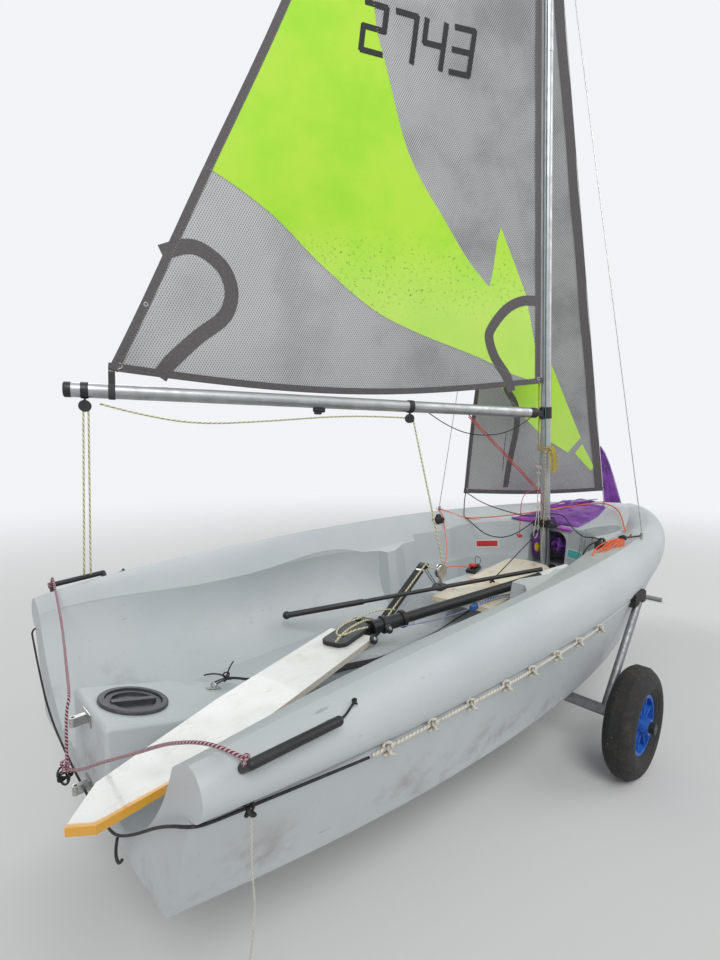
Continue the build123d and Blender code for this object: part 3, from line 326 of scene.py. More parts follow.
class Pattern:
    """A Geometry Nodes tree built socket by socket; its inputs have names and real sizes."""

    def __init__(self, name):
        self.tree = bpy.data.node_groups.new(name, "GeometryNodeTree")
        self.tree.interface.new_socket("Geometry", in_out="OUTPUT", socket_type="NodeSocketGeometry")
        self.entry = self.tree.nodes.new("NodeGroupInput")
        self.exit = self.tree.nodes.new("NodeGroupOutput")
        self.sizes = {}

    def size(self, name, value):
        kind = {int: "NodeSocketInt", float: "NodeSocketFloat",
                Vector: "NodeSocketVector"}.get(type(value), "NodeSocketGeometry")
        socket = self.tree.interface.new_socket(name, in_out="INPUT", socket_type=kind)
        self.sizes[socket.identifier] = value
        return self.entry.outputs[name]

    def node(self, kind, settings=None, values=None):
        made = self.tree.nodes.new(kind)
        for key, value in (settings or {}).items():
            setattr(made, key, value)
        for key, value in (values or {}).items():
            if isinstance(value, bpy.types.NodeSocket):
                self.tree.links.new(value, made.inputs[key])
            else:
                made.inputs[key].default_value = value
        return made

    def piece(self, name, instances, material):
        """The instances made into one plain mesh with its material."""
        real = self.node("GeometryNodeRealizeInstances", values={0: instances})
        painted = self.node("GeometryNodeSetMaterial", values={0: real.outputs[0], "Material": material})
        self.tree.links.new(painted.outputs[0], self.exit.inputs[0])
        holder = mesh_piece(name, [], [])
        layer = holder.modifiers.new("pattern", "NODES")
        layer.node_group = self.tree
        for identifier, value in self.sizes.items():
            layer[identifier] = tuple(value) if isinstance(value, Vector) else value
        return applied(holder)


def mesh_piece(name, places, faces, flat=None):
    mesh = bpy.data.meshes.new(name)
    mesh.from_pydata(places, [], faces)
    if flat:
        layer = mesh.uv_layers.new(name="UVMap")
        for loop in mesh.loops:
            layer.data[loop.index].uv = flat[loop.vertex_index]
    mesh.shade_smooth()
    piece = bpy.data.objects.new(name, mesh)
    bpy.context.scene.collection.objects.link(piece)
    return piece


def fitted(piece, finish, body="boat"):
    """The piece with its finish, on its body and in its material slot."""
    finish.dress(piece)
    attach(piece, body)
    return piece


def grid_faces(rows, columns):
    """Quads between the places of a grid that was filled row by row."""
    faces = []
    for j in range(rows):
        for i in range(columns):
            a = j * (columns + 1) + i
            faces.append((a, a + 1, a + columns + 2, a + columns + 1))
    return faces


def ring_faces(places, around, ends):
    """Quads between rings of places and a fan at each end, whose middle joins the places."""
    rings = len(places) // around
    faces = []
    for k in range(rings - 1):
        for i in range(around):
            a, b = k * around + i, k * around + (i + 1) % around
            faces.append((a, b, b + around, a + around))
    for middle, start, turned in ((ends[0], 0, True), (ends[1], (rings - 1) * around, False)):
        places.append(middle)
        for i in range(around):
            pair = (start + i, start + (i + 1) % around)
            faces.append((len(places) - 1, *(pair[::-1] if turned else pair)))
    return faces


def applied(piece):
    """The piece with its modifiers made into mesh."""
    reach = bpy.context.evaluated_depsgraph_get()
    mesh = bpy.data.meshes.new_from_object(piece.evaluated_get(reach), preserve_all_data_layers=True,
                                           depsgraph=reach)
    piece.modifiers.clear()
    piece.data = mesh
    return piece


def ring_of_blocks(name, centre, radius, count, block, offset, phase, material):
    """Equal blocks set round a wheel, each with its long side across the tread or along a spoke."""
    pattern = Pattern(name)
    ring = pattern.node("GeometryNodeMeshCircle", values={"Vertices": pattern.size("Count", count),
                                                          "Radius": pattern.size("Radius", radius)})
    cube = pattern.node("GeometryNodeMeshCube", values={"Size": pattern.size("Block size", block)})
    outward = pattern.node("GeometryNodeInputPosition")
    facing = pattern.node("FunctionNodeAlignRotationToVector", {"axis": "X"},
                          {"Vector": outward.outputs[0]})
    placed = pattern.node("GeometryNodeInstanceOnPoints", values={
        "Points": ring.outputs[0], "Instance": cube.outputs[0], "Rotation": facing.outputs[0]})
    turned = pattern.node("GeometryNodeTransform", values={
        "Geometry": placed.outputs[0], "Rotation": pattern.size("Turn", Vector((pi / 2, phase, 0)))})
    place = pattern.size("Place", centre + Vector((0, offset, 0)))
    moved = pattern.node("GeometryNodeTransform", values={"Geometry": turned.outputs[0],
                                                          "Translation": place})
    return pattern.piece(name, moved.outputs[0], material)


TREAD_RADIUS, TREAD_BLOCKS, TREAD_BLOCK = 0.1972, 44, Vector((0.006, 0.017, 0.018))
RIB_RADIUS, RIBS, RIB = 0.066, 8, Vector((0.062, 0.005, 0.017))
for side, sign in (("port", 1), ("starboard", -1)):
    low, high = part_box(f"wheel_hub_{side}")
    centre = Vector((low[k] + high[k]) / 2 for k in range(3))
    body = f"wheel_{side}"
    tread = [ring_of_blocks(f"tread_{side}_{row}", centre, TREAD_RADIUS, TREAD_BLOCKS, TREAD_BLOCK,
                            offset, phase, tyre_rubber.material)
             for row, (offset, phase) in enumerate(((-0.011, 0.0), (0.011, pi / TREAD_BLOCKS)))]
    ribs = [ring_of_blocks(f"wheel_ribs_{side}", centre, RIB_RADIUS, RIBS, RIB, sign * 0.0205, pi / RIBS,
                           wheel_blue.material)]
    for piece in tread + ribs:
        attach(piece, body)
        "wheel_plastic" if piece in ribs else "tyre"


# Mainsail: laminate of clear film over a grey scrim of crossed yarns, cut to a curved leech and a rounded
# foot. It is one thin sheet, bent in a soft belly between its straight luff and the clew.
swing = next(j for j in frame["joints"] if j["name"] == "boom_swing")
hinge = Vector(swing["pos_m"])
hinge_up = Vector(swing["axis"]).normalized()
BOOM_REST = radians(18.9)
straight_aft = (Vector((-1, 0, 0)) + hinge_up * hinge_up.x).normalized()
sail_aft = Matrix.Rotation(-BOOM_REST, 3, hinge_up) @ straight_aft
sail_starboard = hinge_up.cross(sail_aft)


class Cloth:
    """Surface of a sail: part of a cylinder about its luff, with soft creases; s runs aft and t up."""

    def __init__(self, origin, aft, up, chord, camber, lead, creases):
        self.origin, self.aft, self.up = origin, aft, up
        self.out = up.cross(aft)
        self.chord, self.camber, self.lead = chord, camber, lead
        self.radius = chord * chord / 8 / camber + camber / 2
        self.creases = creases

    def depth(self, s, t):
        middle = s + self.lead - self.chord / 2
        arc = sqrt(max(self.radius ** 2 - middle ** 2, 0)) - (self.radius - self.camber)
        return -arc + self.creases(s, t)

    def point(self, s, t):
        return self.origin + self.aft * s + self.up * t + self.out * self.depth(s, t)


def main_creases(s, t):
    """Ripples along the foot and fans from the clew and the luff, a few millimetres deep."""
    edge = min(1.0, max(0.0, s / 0.12)) * min(1.0, max(0.0, (t - 0.1) / 0.1))
    fan = sin(9.0 * atan2(t - 0.25, 2.16 - s)) * 0.004
    luff = sin(t * 13.0 + s * 5.0) * 0.003 * max(0.0, 1 - s / 0.8)
    return edge * (fan + luff + sin(s * 4.1 + t * 1.7) * 0.003)


main_cloth = Cloth(hinge, sail_aft, hinge_up, 2.2, 0.085, 0.002, main_creases)
MAIN_FOOT_ROUND = 0.072
MAIN_LUFF = ((0.0, 0.166), (0.0, 4.43))
MAIN_LEECH = ((2.155, 0.252), (2.018, 0.503), (1.75, 1.018), (1.369, 1.738), (0.985, 2.54), (0.62, 3.318),
              (0.36, 3.89), (0.113, 4.418))


def along(points, share):
    """Point at a share of a polyline's length."""
    runs = [sqrt((b[0] - a[0]) ** 2 + (b[1] - a[1]) ** 2) for a, b in zip(points, points[1:])]
    left = share * sum(runs)
    for run, a, b in zip(runs, points, points[1:]):
        if left <= run:
            return tuple(p + (q - p) * left / run for p, q in zip(a, b))
        left -= run
    return tuple(points[-1])


def thickened(piece, thickness):
    wall = piece.modifiers.new("wall", "SOLIDIFY")
    wall.thickness = thickness
    wall.offset = 0
    applied(piece).data.set_sharp_from_angle(angle=radians(40))
    return piece


SAIL_FILM, PATCH_FILM = 0.0009, 0.0005


def sail_sheet(name, cloth, luff, leech, rows, columns, foot_round):
    """Grid from luff to leech, its lowest row following the round of the foot."""
    places, flat = [], []
    for j in range(rows + 1):
        v = j / rows
        a, b = along(luff, v), along(leech, v)
        for i in range(columns + 1):
            u = i / columns
            s = a[0] + (b[0] - a[0]) * u
            t = a[1] + (b[1] - a[1]) * u - foot_round * sin(pi * u) * (1 - v) ** 3
            places.append(cloth.point(s, t))
            flat.append((s, t))
    return thickened(mesh_piece(name, places, grid_faces(rows, columns), flat), SAIL_FILM)


PATCH_CELL = 0.05


def sail_patch(name, cloth, outline):
    """A flat cut piece laid on the sail: its outline is filled with triangles and bent with the cloth."""
    low_s, low_t = (min(p[k] for p in outline) for k in (0, 1))
    high_s, high_t = (max(p[k] for p in outline) for k in (0, 1))
    inner = [Vector((low_s + (i + 0.5) * PATCH_CELL, low_t + (j + 0.5) * PATCH_CELL))
             for i in range(int((high_s - low_s) / PATCH_CELL) + 1)
             for j in range(int((high_t - low_t) / PATCH_CELL) + 1)]
    rim = [Vector(p) for p in outline]
    edges = [(k, (k + 1) % len(rim)) for k in range(len(rim))]
    spots, _, faces, *_ = delaunay_2d_cdt(rim + inner, edges, [], 1, 1e-6)
    used = sorted({k for face in faces for k in face})
    new_place = {old: new for new, old in enumerate(used)}
    flat = [tuple(spots[k]) for k in used]
    faces = [tuple(new_place[k] for k in face) for face in faces]
    return thickened(mesh_piece(name, [cloth.point(s, t) for s, t in flat], faces, flat), PATCH_FILM)


def scrim_finish(name, film, yarn, pitch=0.011):
    """Crossed yarns in clear film, by the sail's own UV map in metres; film and yarns are painted darker
    towards the luff as painted shade, and darker in random clouds.
    """
    finish = Finish(name, Roughness=0.38)
    s = finish.axis(0, "UV")
    t = finish.axis(1, "UV")
    lines = []
    for lean in (0.62, -0.62):
        across = (s + t * lean) / pitch
        lines.append(abs(across % 1.0 - 0.5) > 0.34)
    yarns = lines[0].maths("MAXIMUM", *lines)
    cloud = finish.noise(2.6, 4.0, 0.6)
    # Painted shade: the film darkens towards the luff, by the mast, mixed with random darker clouds; the
    # yarns dim with it.
    shade = finish.ramp(s, 1.5, 0.1) * 0.55 + finish.ramp(cloud, 0.4, 0.7) * 0.45
    base = finish.mix(shade, film, tuple(c * 0.42 for c in film[:3]) + (1,))
    finish.set("Base Color", finish.mix(yarns * (1.0 - shade * 0.55), base, yarn))
    finish.bump(yarns + finish.noise(30.0, 3.0) * 0.4, 0.25, 0.0006)
    return finish


scrim = scrim_finish("sail_scrim", colour(140, 142, 145), colour(206, 207, 206))
mainsail = sail_sheet("mainsail_cloth", main_cloth, MAIN_LUFF, MAIN_LEECH, 90, 56, MAIN_FOOT_ROUND)
scrim.dress(mainsail)
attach(mainsail, "boom_and_mainsail")
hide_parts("mainsail")


# What is sewn and stuck on the mainsail: a lime film panel that fills the leech and runs down to the tack,
# dark tape along the edges, curved bands over the corners, battens, eyelets, seams and plain numbers.
LIFT = 0.0016


class Face:
    """One side of a sail, a little off the cloth, for the pieces laid on it."""

    def __init__(self, cloth, side, lift=LIFT):
        self.cloth, self.side, self.lift = cloth, side, lift

    def point(self, s, t):
        return self.cloth.point(s, t) + self.cloth.out * self.side * self.lift

    def above(self, layers=1):
        """The same side, over what is already laid on it."""
        return Face(self.cloth, self.side, self.lift + layers * LIFT * 0.6)


def film_finish(name, base, shade, spotted=0.75):
    finish = Finish(name)
    cloud = finish.noise(3.2, 4.0, 0.6, "UV")
    crease = finish.noise(6.0, 5.0, 0.7, "UV", stretch=(1.0, 3.0, 1.0))
    mildew = finish.noise(48.0, 5.0, 0.8, "UV")
    height = finish.axis(1, "UV")
    band = finish.ramp(height, 0.95, 0.75) * finish.ramp(height, 0.45, 0.62)
    tone = finish.mix(finish.ramp(cloud, 0.35, 0.7) * 0.8, base, shade)
    tone = finish.mix(finish.ramp(height, 0.95, 0.5) * 0.5, tone, colour(206, 238, 128))
    finish.set("Base Color", finish.mix(finish.ramp(mildew, 0.56, 0.66) * band * spotted, tone,
                                        colour(66, 80, 40)))
    finish.set("Roughness", finish.ramp(cloud, 0.3, 0.7, 0.34, 0.5))
    finish.bump(crease, 0.4, 0.002)
    return finish


def tape_finish(name, base, worn):
    finish = Finish(name, Roughness=0.68)
    grain = finish.noise(60.0, 4.0, 0.7, "UV", stretch=(1.0, 3.0, 1.0))
    finish.set("Base Color", finish.mix(finish.ramp(grain, 0.4, 0.75) * 0.7, base, worn))
    finish.bump(finish.noise(400.0, 2.0, source="UV"), 0.3, 0.0004)
    return finish


def arc_through(points, steps=6):
    """Smooth run through the points of an outline (Catmull-Rom)."""
    run = []
    ends = [points[0], *points, points[-1]]
    for a, b, c, d in zip(ends, ends[1:], ends[2:], ends[3:]):
        for k in range(steps):
            u = k / steps
            run.append(tuple(0.5 * (2 * q + (r - p) * u + (2 * p - 5 * q + 4 * r - w) * u * u
                                    + (3 * q - p - 3 * r + w) * u ** 3)
                             for p, q, r, w in zip(a, b, c, d)))
    return run + [points[-1]]


def foot_run(clew, tack_height, foot_round, inset, count):
    """Line along the rounded foot of a sail from clew to tack, a little way in from its edge."""
    run = []
    for k in range(count + 1):
        share = k / count
        height = clew[1] + (tack_height - clew[1]) * share
        run.append((clew[0] * (1 - share), height - foot_round * sin(pi * (1 - share)) + inset))
    return run


def strip(name, faces, middle, width, thickness=PATCH_FILM):
    """Tape laid along a line of the sail, on each of the faces given."""
    made = []
    for number, face in enumerate(faces):
        places, flat, quads = [], [], []
        run = 0.0
        for k, (s, t) in enumerate(middle):
            before, after = middle[max(k - 1, 0)], middle[min(k + 1, len(middle) - 1)]
            ds, dt = after[0] - before[0], after[1] - before[1]
            size = sqrt(ds * ds + dt * dt)
            run += sqrt((s - before[0]) ** 2 + (t - before[1]) ** 2)
            for j in range(3):
                off = (j / 2 - 0.5) * width
                places.append(face.point(s - dt / size * off, t + ds / size * off))
                flat.append((run, j / 2 * width))
        for k in range(len(middle) - 1):
            for j in range(2):
                a = k * 3 + j
                quads.append((a, a + 3, a + 4, a + 1) if face.side > 0 else (a, a + 1, a + 4, a + 3))
        made.append(thickened(mesh_piece(f"{name}_{number}", places, quads, flat), thickness))
    return made


starboard_face, port_face = Face(main_cloth, 1), Face(main_cloth, -1)
both_faces = (starboard_face, port_face)
over_lime = (starboard_face.above(), port_face.above())
lime = film_finish("lime_film", colour(186, 232, 60), colour(156, 226, 24))
grey_tape = tape_finish("grey_tape", colour(84, 80, 82), colour(112, 108, 106))

LEECH_LINE = arc_through(MAIN_LEECH, 5)
LIME_LOW = arc_through(((1.728, 1.058), (1.572, 0.978), (1.418, 0.878), (1.26, 0.74), (1.005, 0.547),
                        (0.771, 0.439), (0.388, 0.306), (0.18, 0.215), (0.02, 0.172)))
LIME_HIGH = arc_through(((0.327, 0.667), (0.456, 0.805), (0.576, 0.983), (0.762, 1.261), (0.872, 1.614),
                         (0.918, 1.791), (0.93, 2.1), (0.86, 2.55), (0.74, 2.98)))
leech_part = [p for p in LEECH_LINE if 1.1 < p[1] < 3.0]
LIME_SPIKE = ((0.302, 0.760), (0.280, 0.890), (0.255, 0.965), (0.179, 0.802), (0.107, 0.628),
              (0.060, 0.420), (0.022, 0.260))
lime_outline = LIME_LOW[::-1] + leech_part + LIME_HIGH[::-1] + list(LIME_SPIKE)
head_lime = [(0.012, 3.55), (0.43, 3.70), (0.36, 3.885), (0.113, 4.41), (0.012, 4.42)]

details = []
for number, face in enumerate(both_faces):
    for name, outline in (("lime_panel", lime_outline), ("lime_head", head_lime)):
        patch = sail_patch(f"main_{name}_{number}", face, outline)
        lime.dress(patch)
        details.append(patch)

tapes = strip("main_leech_tape", over_lime, [(s - 0.016, t) for s, t in LEECH_LINE], 0.034)
foot_line = foot_run(MAIN_LEECH[0], MAIN_LUFF[0][1], MAIN_FOOT_ROUND, 0.014, 24)
tapes += strip("main_foot_tape", over_lime, foot_line, 0.030)
tapes += strip("main_luff_tape", over_lime, [(0.030, 0.17 + k * 0.106) for k in range(41)], 0.034)
clew_band = arc_through(((1.925, 0.705), (1.83, 0.738), (1.76, 0.727), (1.683, 0.664), (1.658, 0.57),
                         (1.698, 0.473), (1.813, 0.386), (1.925, 0.287), (1.975, 0.225)), 6)
tapes += strip("main_clew_band", over_lime, clew_band, 0.058)
tack_band = arc_through(((0.012, 0.602), (0.13, 0.60), (0.231, 0.555), (0.318, 0.46), (0.333, 0.40),
                         (0.296, 0.306), (0.225, 0.211), (0.196, 0.125)), 6)
tapes += strip("main_tack_band", over_lime, tack_band, 0.052)
for tape in tapes:
    grey_tape.dress(tape)

# Battens in their pockets, seams of the panels and plain numbers on each side
BATTENS = ((1.98, 0.52), (2.72, 0.46), (3.42, 0.40))
white_tape = tape_finish("batten_pocket", colour(198, 198, 194), colour(170, 168, 162))
pockets = []
for number, (height, length) in enumerate(BATTENS):
    end = min(LEECH_LINE, key=lambda p: abs(p[1] - height))
    pockets += strip(f"main_batten_{number}", over_lime,
                     [(end[0] - 0.03 - length * k / 8, end[1] + 0.045 * length * k / 8)
                      for k in range(9)], 0.036, 0.0012)
for pocket in pockets:
    white_tape.dress(pocket)
black_film = tape_finish("number_film", colour(22, 22, 24), colour(40, 40, 42))


def numbers(name, face, text, start, height, slant=0.18):
    """Plain digits, a little slanted, each of up to seven bars that are strips cut from film."""
    bars = {"top": ((0, 1), (1, 1)), "mid": ((0, 0.5), (1, 0.5)), "low": ((0, 0), (1, 0)),
            "tl": ((0, 1), (0, 0.5)), "tr": ((1, 1), (1, 0.5)), "bl": ((0, 0.5), (0, 0)),
            "br": ((1, 0.5), (1, 0))}
    shapes = {"2": "top tr mid bl low", "3": "top tr mid br low", "7": "top tr br", "4": "tl tr mid br"}
    made = []
    for place, digit in enumerate(text):
        for bar in shapes[digit].split():
            (u0, v0), (u1, v1) = bars[bar]
            width = height * 0.52
            run = []
            for k in range(4):
                share = -0.06 + 1.12 * k / 3
                u, v = u0 + (u1 - u0) * share, v0 + (v1 - v0) * share
                run.append((start[0] - face.side * (place * height * 0.78 + u * width
                                                    + v * height * slant), start[1] + v * height))
            made += strip(f"{name}_{place}_{bar}", (face,), run, height * 0.13, 0.0004)
    return made


for name, face, start in (("number_starboard", starboard_face.above(), (1.00, 1.66)),
                          ("number_port", port_face.above(), (0.42, 1.38))):
    for bar in numbers(name, face, "2743", start, 0.20):
        black_film.dress(bar)
        details.append(bar)


def seam_stitches(name, face, middle, pitch=0.012):
    """Zigzag stitches along a seam: short threads placed on a line by Geometry Nodes."""
    route = bpy.data.curves.new(name + "_route", "CURVE")
    route.dimensions = "3D"
    spline = route.splines.new("POLY")
    spline.points.add(len(middle) - 1)
    for spot, (s, t) in zip(spline.points, middle):
        spot.co = (*(face.point(s, t) + face.cloth.out * face.side * 0.0006), 1)
    holder = bpy.data.objects.new(name + "_route", route)
    bpy.context.scene.collection.objects.link(holder)
    pattern = Pattern(name)
    source = pattern.node("GeometryNodeObjectInfo", values={"Object": holder})
    spread = pattern.node("GeometryNodeCurveToPoints", {"mode": "LENGTH"},
                          {0: source.outputs["Geometry"], "Length": pattern.size("Stitch pitch", pitch)})
    thread = pattern.node("GeometryNodeMeshCube",
                          values={"Size": pattern.size("Stitch size", Vector((0.0016, 0.0075, 0.0012)))})
    placed = pattern.node("GeometryNodeInstanceOnPoints", values={
        "Points": spread.outputs[0], "Instance": thread.outputs[0], "Rotation": spread.outputs["Rotation"]})
    piece = pattern.piece(name, placed.outputs[0], white_tape.material)
    bpy.data.objects.remove(holder)
    return piece


stitches = [seam_stitches("main_lime_seam", starboard_face, LIME_LOW),
            seam_stitches("main_lime_seam_high", starboard_face, LIME_HIGH),
            seam_stitches("main_luff_seam", over_lime[0], [(0.046, 0.2 + 0.1 * k) for k in range(42)]),
            seam_stitches("main_leech_seam", starboard_face, [(s - 0.034, t) for s, t in LEECH_LINE
                                                              if t < 4.3])]


def ring(name, centre, normal, radius, wire, finish, body, slot, turns=24, sides=10):
    """Round wire ring, as an eyelet's rim, a shackle or a hoop."""
    side = normal.orthogonal().normalized()
    other = normal.cross(side).normalized()
    places, faces = [], []
    for i in range(turns):
        out = side * cos(2 * pi * i / turns) + other * sin(2 * pi * i / turns)
        for j in range(sides):
            angle = 2 * pi * j / sides
            places.append(centre + out * (radius + wire * cos(angle)) + normal * wire * sin(angle))
    for i in range(turns):
        for j in range(sides):
            a, b = i * sides, (i + 1) % turns * sides
            faces.append((a + j, b + j, b + (j + 1) % sides, a + (j + 1) % sides))
    fitted(mesh_piece(name, places, faces), finish, body)


for name, (s, t), radius in (("main_clew_eyelet", (2.118, 0.268), 0.011),
                             ("main_leech_eyelet", (2.000, 0.503), 0.007),
                             ("main_tack_eyelet", (0.024, 0.190), 0.008)):
    for side, face in enumerate(both_faces):
        ring(f"{name}_{side}", face.point(s, t), sail_starboard, radius, 0.0025, stainless,
             "boom_and_mainsail", "stainless")
for piece in details + tapes + pockets + stitches:
    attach(piece, "boom_and_mainsail")


# Jib: the same scrim laminate set on the forestay, with a wide luff band, taped leech and foot, a lime panel
# from near the tack up to the leech and a dark curved band that stands on the foot.
stay_foot = at(3.290, 0, 0.552)
mast_rake = radians(4.25)
mast_up = Vector((-sin(mast_rake), 0, cos(mast_rake)))
mast_aft = Vector((-cos(mast_rake), 0, -sin(mast_rake)))
MAST_FOOT_HEIGHT = 0.252
mast_foot = at(2.454, 0, MAST_FOOT_HEIGHT)
stay_top = mast_foot - mast_aft * 0.039 + mast_up * 3.634
stay_up = (stay_top - stay_foot).normalized()
jib_tack = stay_foot + stay_up * 0.093
jib_clew = at(2.300, 0.470, 0.648)
to_clew = jib_clew - jib_tack
jib_aft = (to_clew - stay_up * to_clew.dot(stay_up)).normalized()
JIB_CLEW = (1.027, 0.301)
JIB_HEAD = 3.20
JIB_FOOT_ROUND = 0.03


def jib_creases(s, t):
    by_luff = sin(t * 9.0 + s * 6.0) * 0.003 * max(0.0, 1 - s / 0.6)
    return by_luff + sin(s * 7.0 - t * 2.0) * 0.003 * min(1.0, s / 0.2)


jib_cloth = Cloth(jib_tack, jib_aft, stay_up, 1.057, 0.055, 0.0, jib_creases)
JIB_LUFF = ((0.004, 0.004), (0.004, JIB_HEAD - 0.01))
JIB_LEECH = (JIB_CLEW, (0.80, 0.98), (0.560, 1.62), (0.30, 2.40), (0.062, JIB_HEAD - 0.006))
jib = sail_sheet("jib_cloth", jib_cloth, JIB_LUFF, JIB_LEECH, 70, 28, JIB_FOOT_ROUND)
scrim.dress(jib)
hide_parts("jib")
jib_port, jib_starboard = Face(jib_cloth, -1), Face(jib_cloth, 1)
jib_faces = (jib_starboard, jib_port)
over_jib_lime = (jib_starboard.above(), jib_port.above())
jib_edge = [p for p in arc_through(JIB_LEECH, 8) if 1.06 < p[1] < 2.05]
jib_lime_outline = [(0.122, 0.411), (0.223, 0.333), (0.372, 0.467), (0.497, 0.632), (0.645, 0.872),
                    (0.748, 1.040), *jib_edge, (0.395, 1.75), (0.335, 1.35), (0.279, 0.951),
                    (0.205, 0.690)]
jib_lime = [sail_patch(f"jib_lime_{n}", face, jib_lime_outline) for n, face in enumerate(jib_faces)]
jib_lime += [sail_patch(f"jib_lime_low_{n}", face, [(0.115, 0.365), (0.175, 0.315), (0.075, 0.165),
                                                    (0.050, 0.185)]) for n, face in enumerate(jib_faces)]
jib_tapes = strip("jib_luff_band", over_jib_lime, [(0.030, 0.02 + k * 0.105) for k in range(31)], 0.052)
jib_tapes += strip("jib_leech_tape", over_jib_lime,
                   [(s - 0.012, t) for s, t in arc_through(JIB_LEECH, 8)], 0.026)
jib_foot = foot_run(JIB_CLEW, 0.0, JIB_FOOT_ROUND, 0.012, 16)
jib_tapes += strip("jib_foot_tape", over_jib_lime, jib_foot, 0.026)
jib_arc = arc_through(((0.585, 0.94), (0.613, 0.874), (0.56, 0.752), (0.567, 0.61), (0.654, 0.386),
                       (0.709, 0.229)), 6)
jib_tapes += strip("jib_clew_band", over_jib_lime, jib_arc[6:], 0.040)
clean_lime = film_finish("lime_film_jib", colour(186, 234, 50), colour(160, 226, 30), 0.0)
for patch in jib_lime:
    clean_lime.dress(patch)
for tape in jib_tapes:
    grey_tape.dress(tape)
jib_stitches = [seam_stitches("jib_luff_seam", over_jib_lime[0],
                              [(0.058, 0.06 + 0.1 * k) for k in range(30)])]
for piece in [jib, *jib_lime, *jib_tapes, *jib_stitches]:
    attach(piece, "boat")
for number, face in enumerate(jib_faces):
    ring(f"jib_clew_ring_{number}", face.point(JIB_CLEW[0] - 0.022, JIB_CLEW[1] + 0.008), jib_cloth.out,
         0.008, 0.0022, stainless, "boat", "stainless")


# Running rigging: braided polyester lines with a flecked cover, led from the boom, the sails and the mast to
# the blocks in the cockpit, and the loose ends that hang or lie where they were left.
def smooth(points):
    """Points along the curve that a line takes through its route."""
    curve = bpy.data.curves.new("route", "CURVE")
    curve.dimensions = "3D"
    spline = curve.splines.new("NURBS")
    spline.points.add(len(points) - 1)
    for spot, place in zip(spline.points, points):
        spot.co = (*place, 1)
    spline.order_u = 3
    spline.use_endpoint_u = True
    spline.resolution_u = 6
    holder = bpy.data.objects.new("route", curve)
    mesh = bpy.data.meshes.new_from_object(holder)
    path = [v.co.copy() for v in mesh.vertices]
    bpy.data.objects.remove(holder)
    bpy.data.curves.remove(curve)
    bpy.data.meshes.remove(mesh)
    return path


def tube(name, path, radius, sides=8):
    """Closed tube along a path; its UV map runs round the line and along it in metres."""
    places, flat = [], []
    side = (path[1] - path[0]).orthogonal().normalized()
    run = 0.0
    for k, place in enumerate(path):
        ahead = (path[min(k + 1, len(path) - 1)] - path[max(k - 1, 0)]).normalized()
        side = (side - ahead * side.dot(ahead)).normalized()
        other = ahead.cross(side)
        run += (place - path[max(k - 1, 0)]).length
        for i in range(sides):
            angle = 2 * pi * i / sides
            places.append(place + (side * cos(angle) + other * sin(angle)) * radius)
            flat.append((i / sides, run))
    faces = ring_faces(places, sides, (path[0], path[-1]))
    flat += [(0.5, 0), (0.5, 0)]
    return mesh_piece(name, places, faces, flat)


def braid_finish(name, base, fleck, share=0.25, pitch=0.012):
    """Braided cover: two sets of crossed strands, some of them in the fleck's colour."""
    finish = Finish(name, Roughness=0.72)
    around = finish.axis(0, "UV")
    along_line = finish.axis(1, "UV") / pitch
    right_hand = (along_line + around * 2) % 1.0
    left_hand = (along_line - around * 2) % 1.0
    crown = abs(right_hand - 0.5) + abs(left_hand - 0.5)
    worn = finish.noise(50.0, 3.0)
    tone = finish.mix(right_hand < share, base, fleck)
    finish.set("Base Color", finish.mix(finish.ramp(worn, 0.5, 0.8) * 0.35, tone, colour(92, 88, 80)))
    finish.bump(crown, 0.5, 0.0008)
    return finish


white_line = braid_finish("line_white", colour(214, 210, 200), colour(176, 170, 156), 0.3)
flecked_line = braid_finish("line_yellow_white", colour(222, 216, 176), colour(70, 66, 40), 0.22, 0.02)
black_line = braid_finish("line_black", colour(26, 26, 28), colour(44, 44, 48), 0.3)
red_line = braid_finish("line_red", colour(178, 44, 58), colour(216, 120, 120), 0.3, 0.016)
orange_line = braid_finish("line_orange", colour(232, 96, 52), colour(238, 150, 110), 0.3)
yellow_line = braid_finish("line_yellow", colour(206, 186, 52), colour(150, 134, 40), 0.3)
blue_line = braid_finish("line_blue", colour(32, 96, 176), colour(226, 230, 236), 0.3, 0.016)
teal_line = braid_finish("line_teal", colour(36, 124, 122), colour(24, 84, 90), 0.3)
bridle_line = braid_finish("line_red_white_black", colour(118, 34, 54), colour(214, 200, 206), 0.34, 0.009)


def line(name, points, diameter, finish, body="boat", crossing=None, **free):
    """A line on its route, on its body. One that crosses the boom's hinge goes on no body, with its place
    baked into its mesh.
    """
    path = smooth(points)
    piece = tube(name, path, diameter / 2)
    finish.dress(piece)
    if crossing:
        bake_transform(piece)
    else:
        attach(piece, body)
    return path


boom_lift = radians(4.8)
boom_aft = sail_aft * cos(boom_lift) + hinge_up * sin(boom_lift)
boom_up = hinge_up * cos(boom_lift) - sail_aft * sin(boom_lift)


def under_boom(along_it, drop, to_starboard=0.0):
    return hinge + boom_aft * along_it - boom_up * drop + sail_starboard * to_starboard


# Mainsheet: from the block at the boom's end to the port quarter, and forward under the boom to the block
# in the middle and down to the ratchet block in the cockpit.
quarter = at(0.175, 0.668, 0.468)
for number, (aft_place, low_shift) in enumerate(((2.255, 0.0), (2.238, 0.022))):
    top = under_boom(aft_place, 0.055)
    low = quarter + Vector((low_shift, 0, 0))
    line(f"mainsheet_fall_{number + 1}", [low, low.lerp(top, 0.3), low.lerp(top, 0.7), top], 0.007,
         flecked_line, crossing=(low, top))
line("mainsheet_run", [under_boom(2.20, 0.058), under_boom(2.1, 0.085), under_boom(1.86, 0.125, 0.01),
                       under_boom(1.55, 0.10), under_boom(1.2, 0.062), under_boom(0.9, 0.058),
                       under_boom(0.875, 0.06)], 0.007, flecked_line, "boom_and_mainsail",
     far_end="object", lay="hanging")
ratchet = at(1.502, 0.020, 0.400)
middle_block = under_boom(0.83, 0.06)
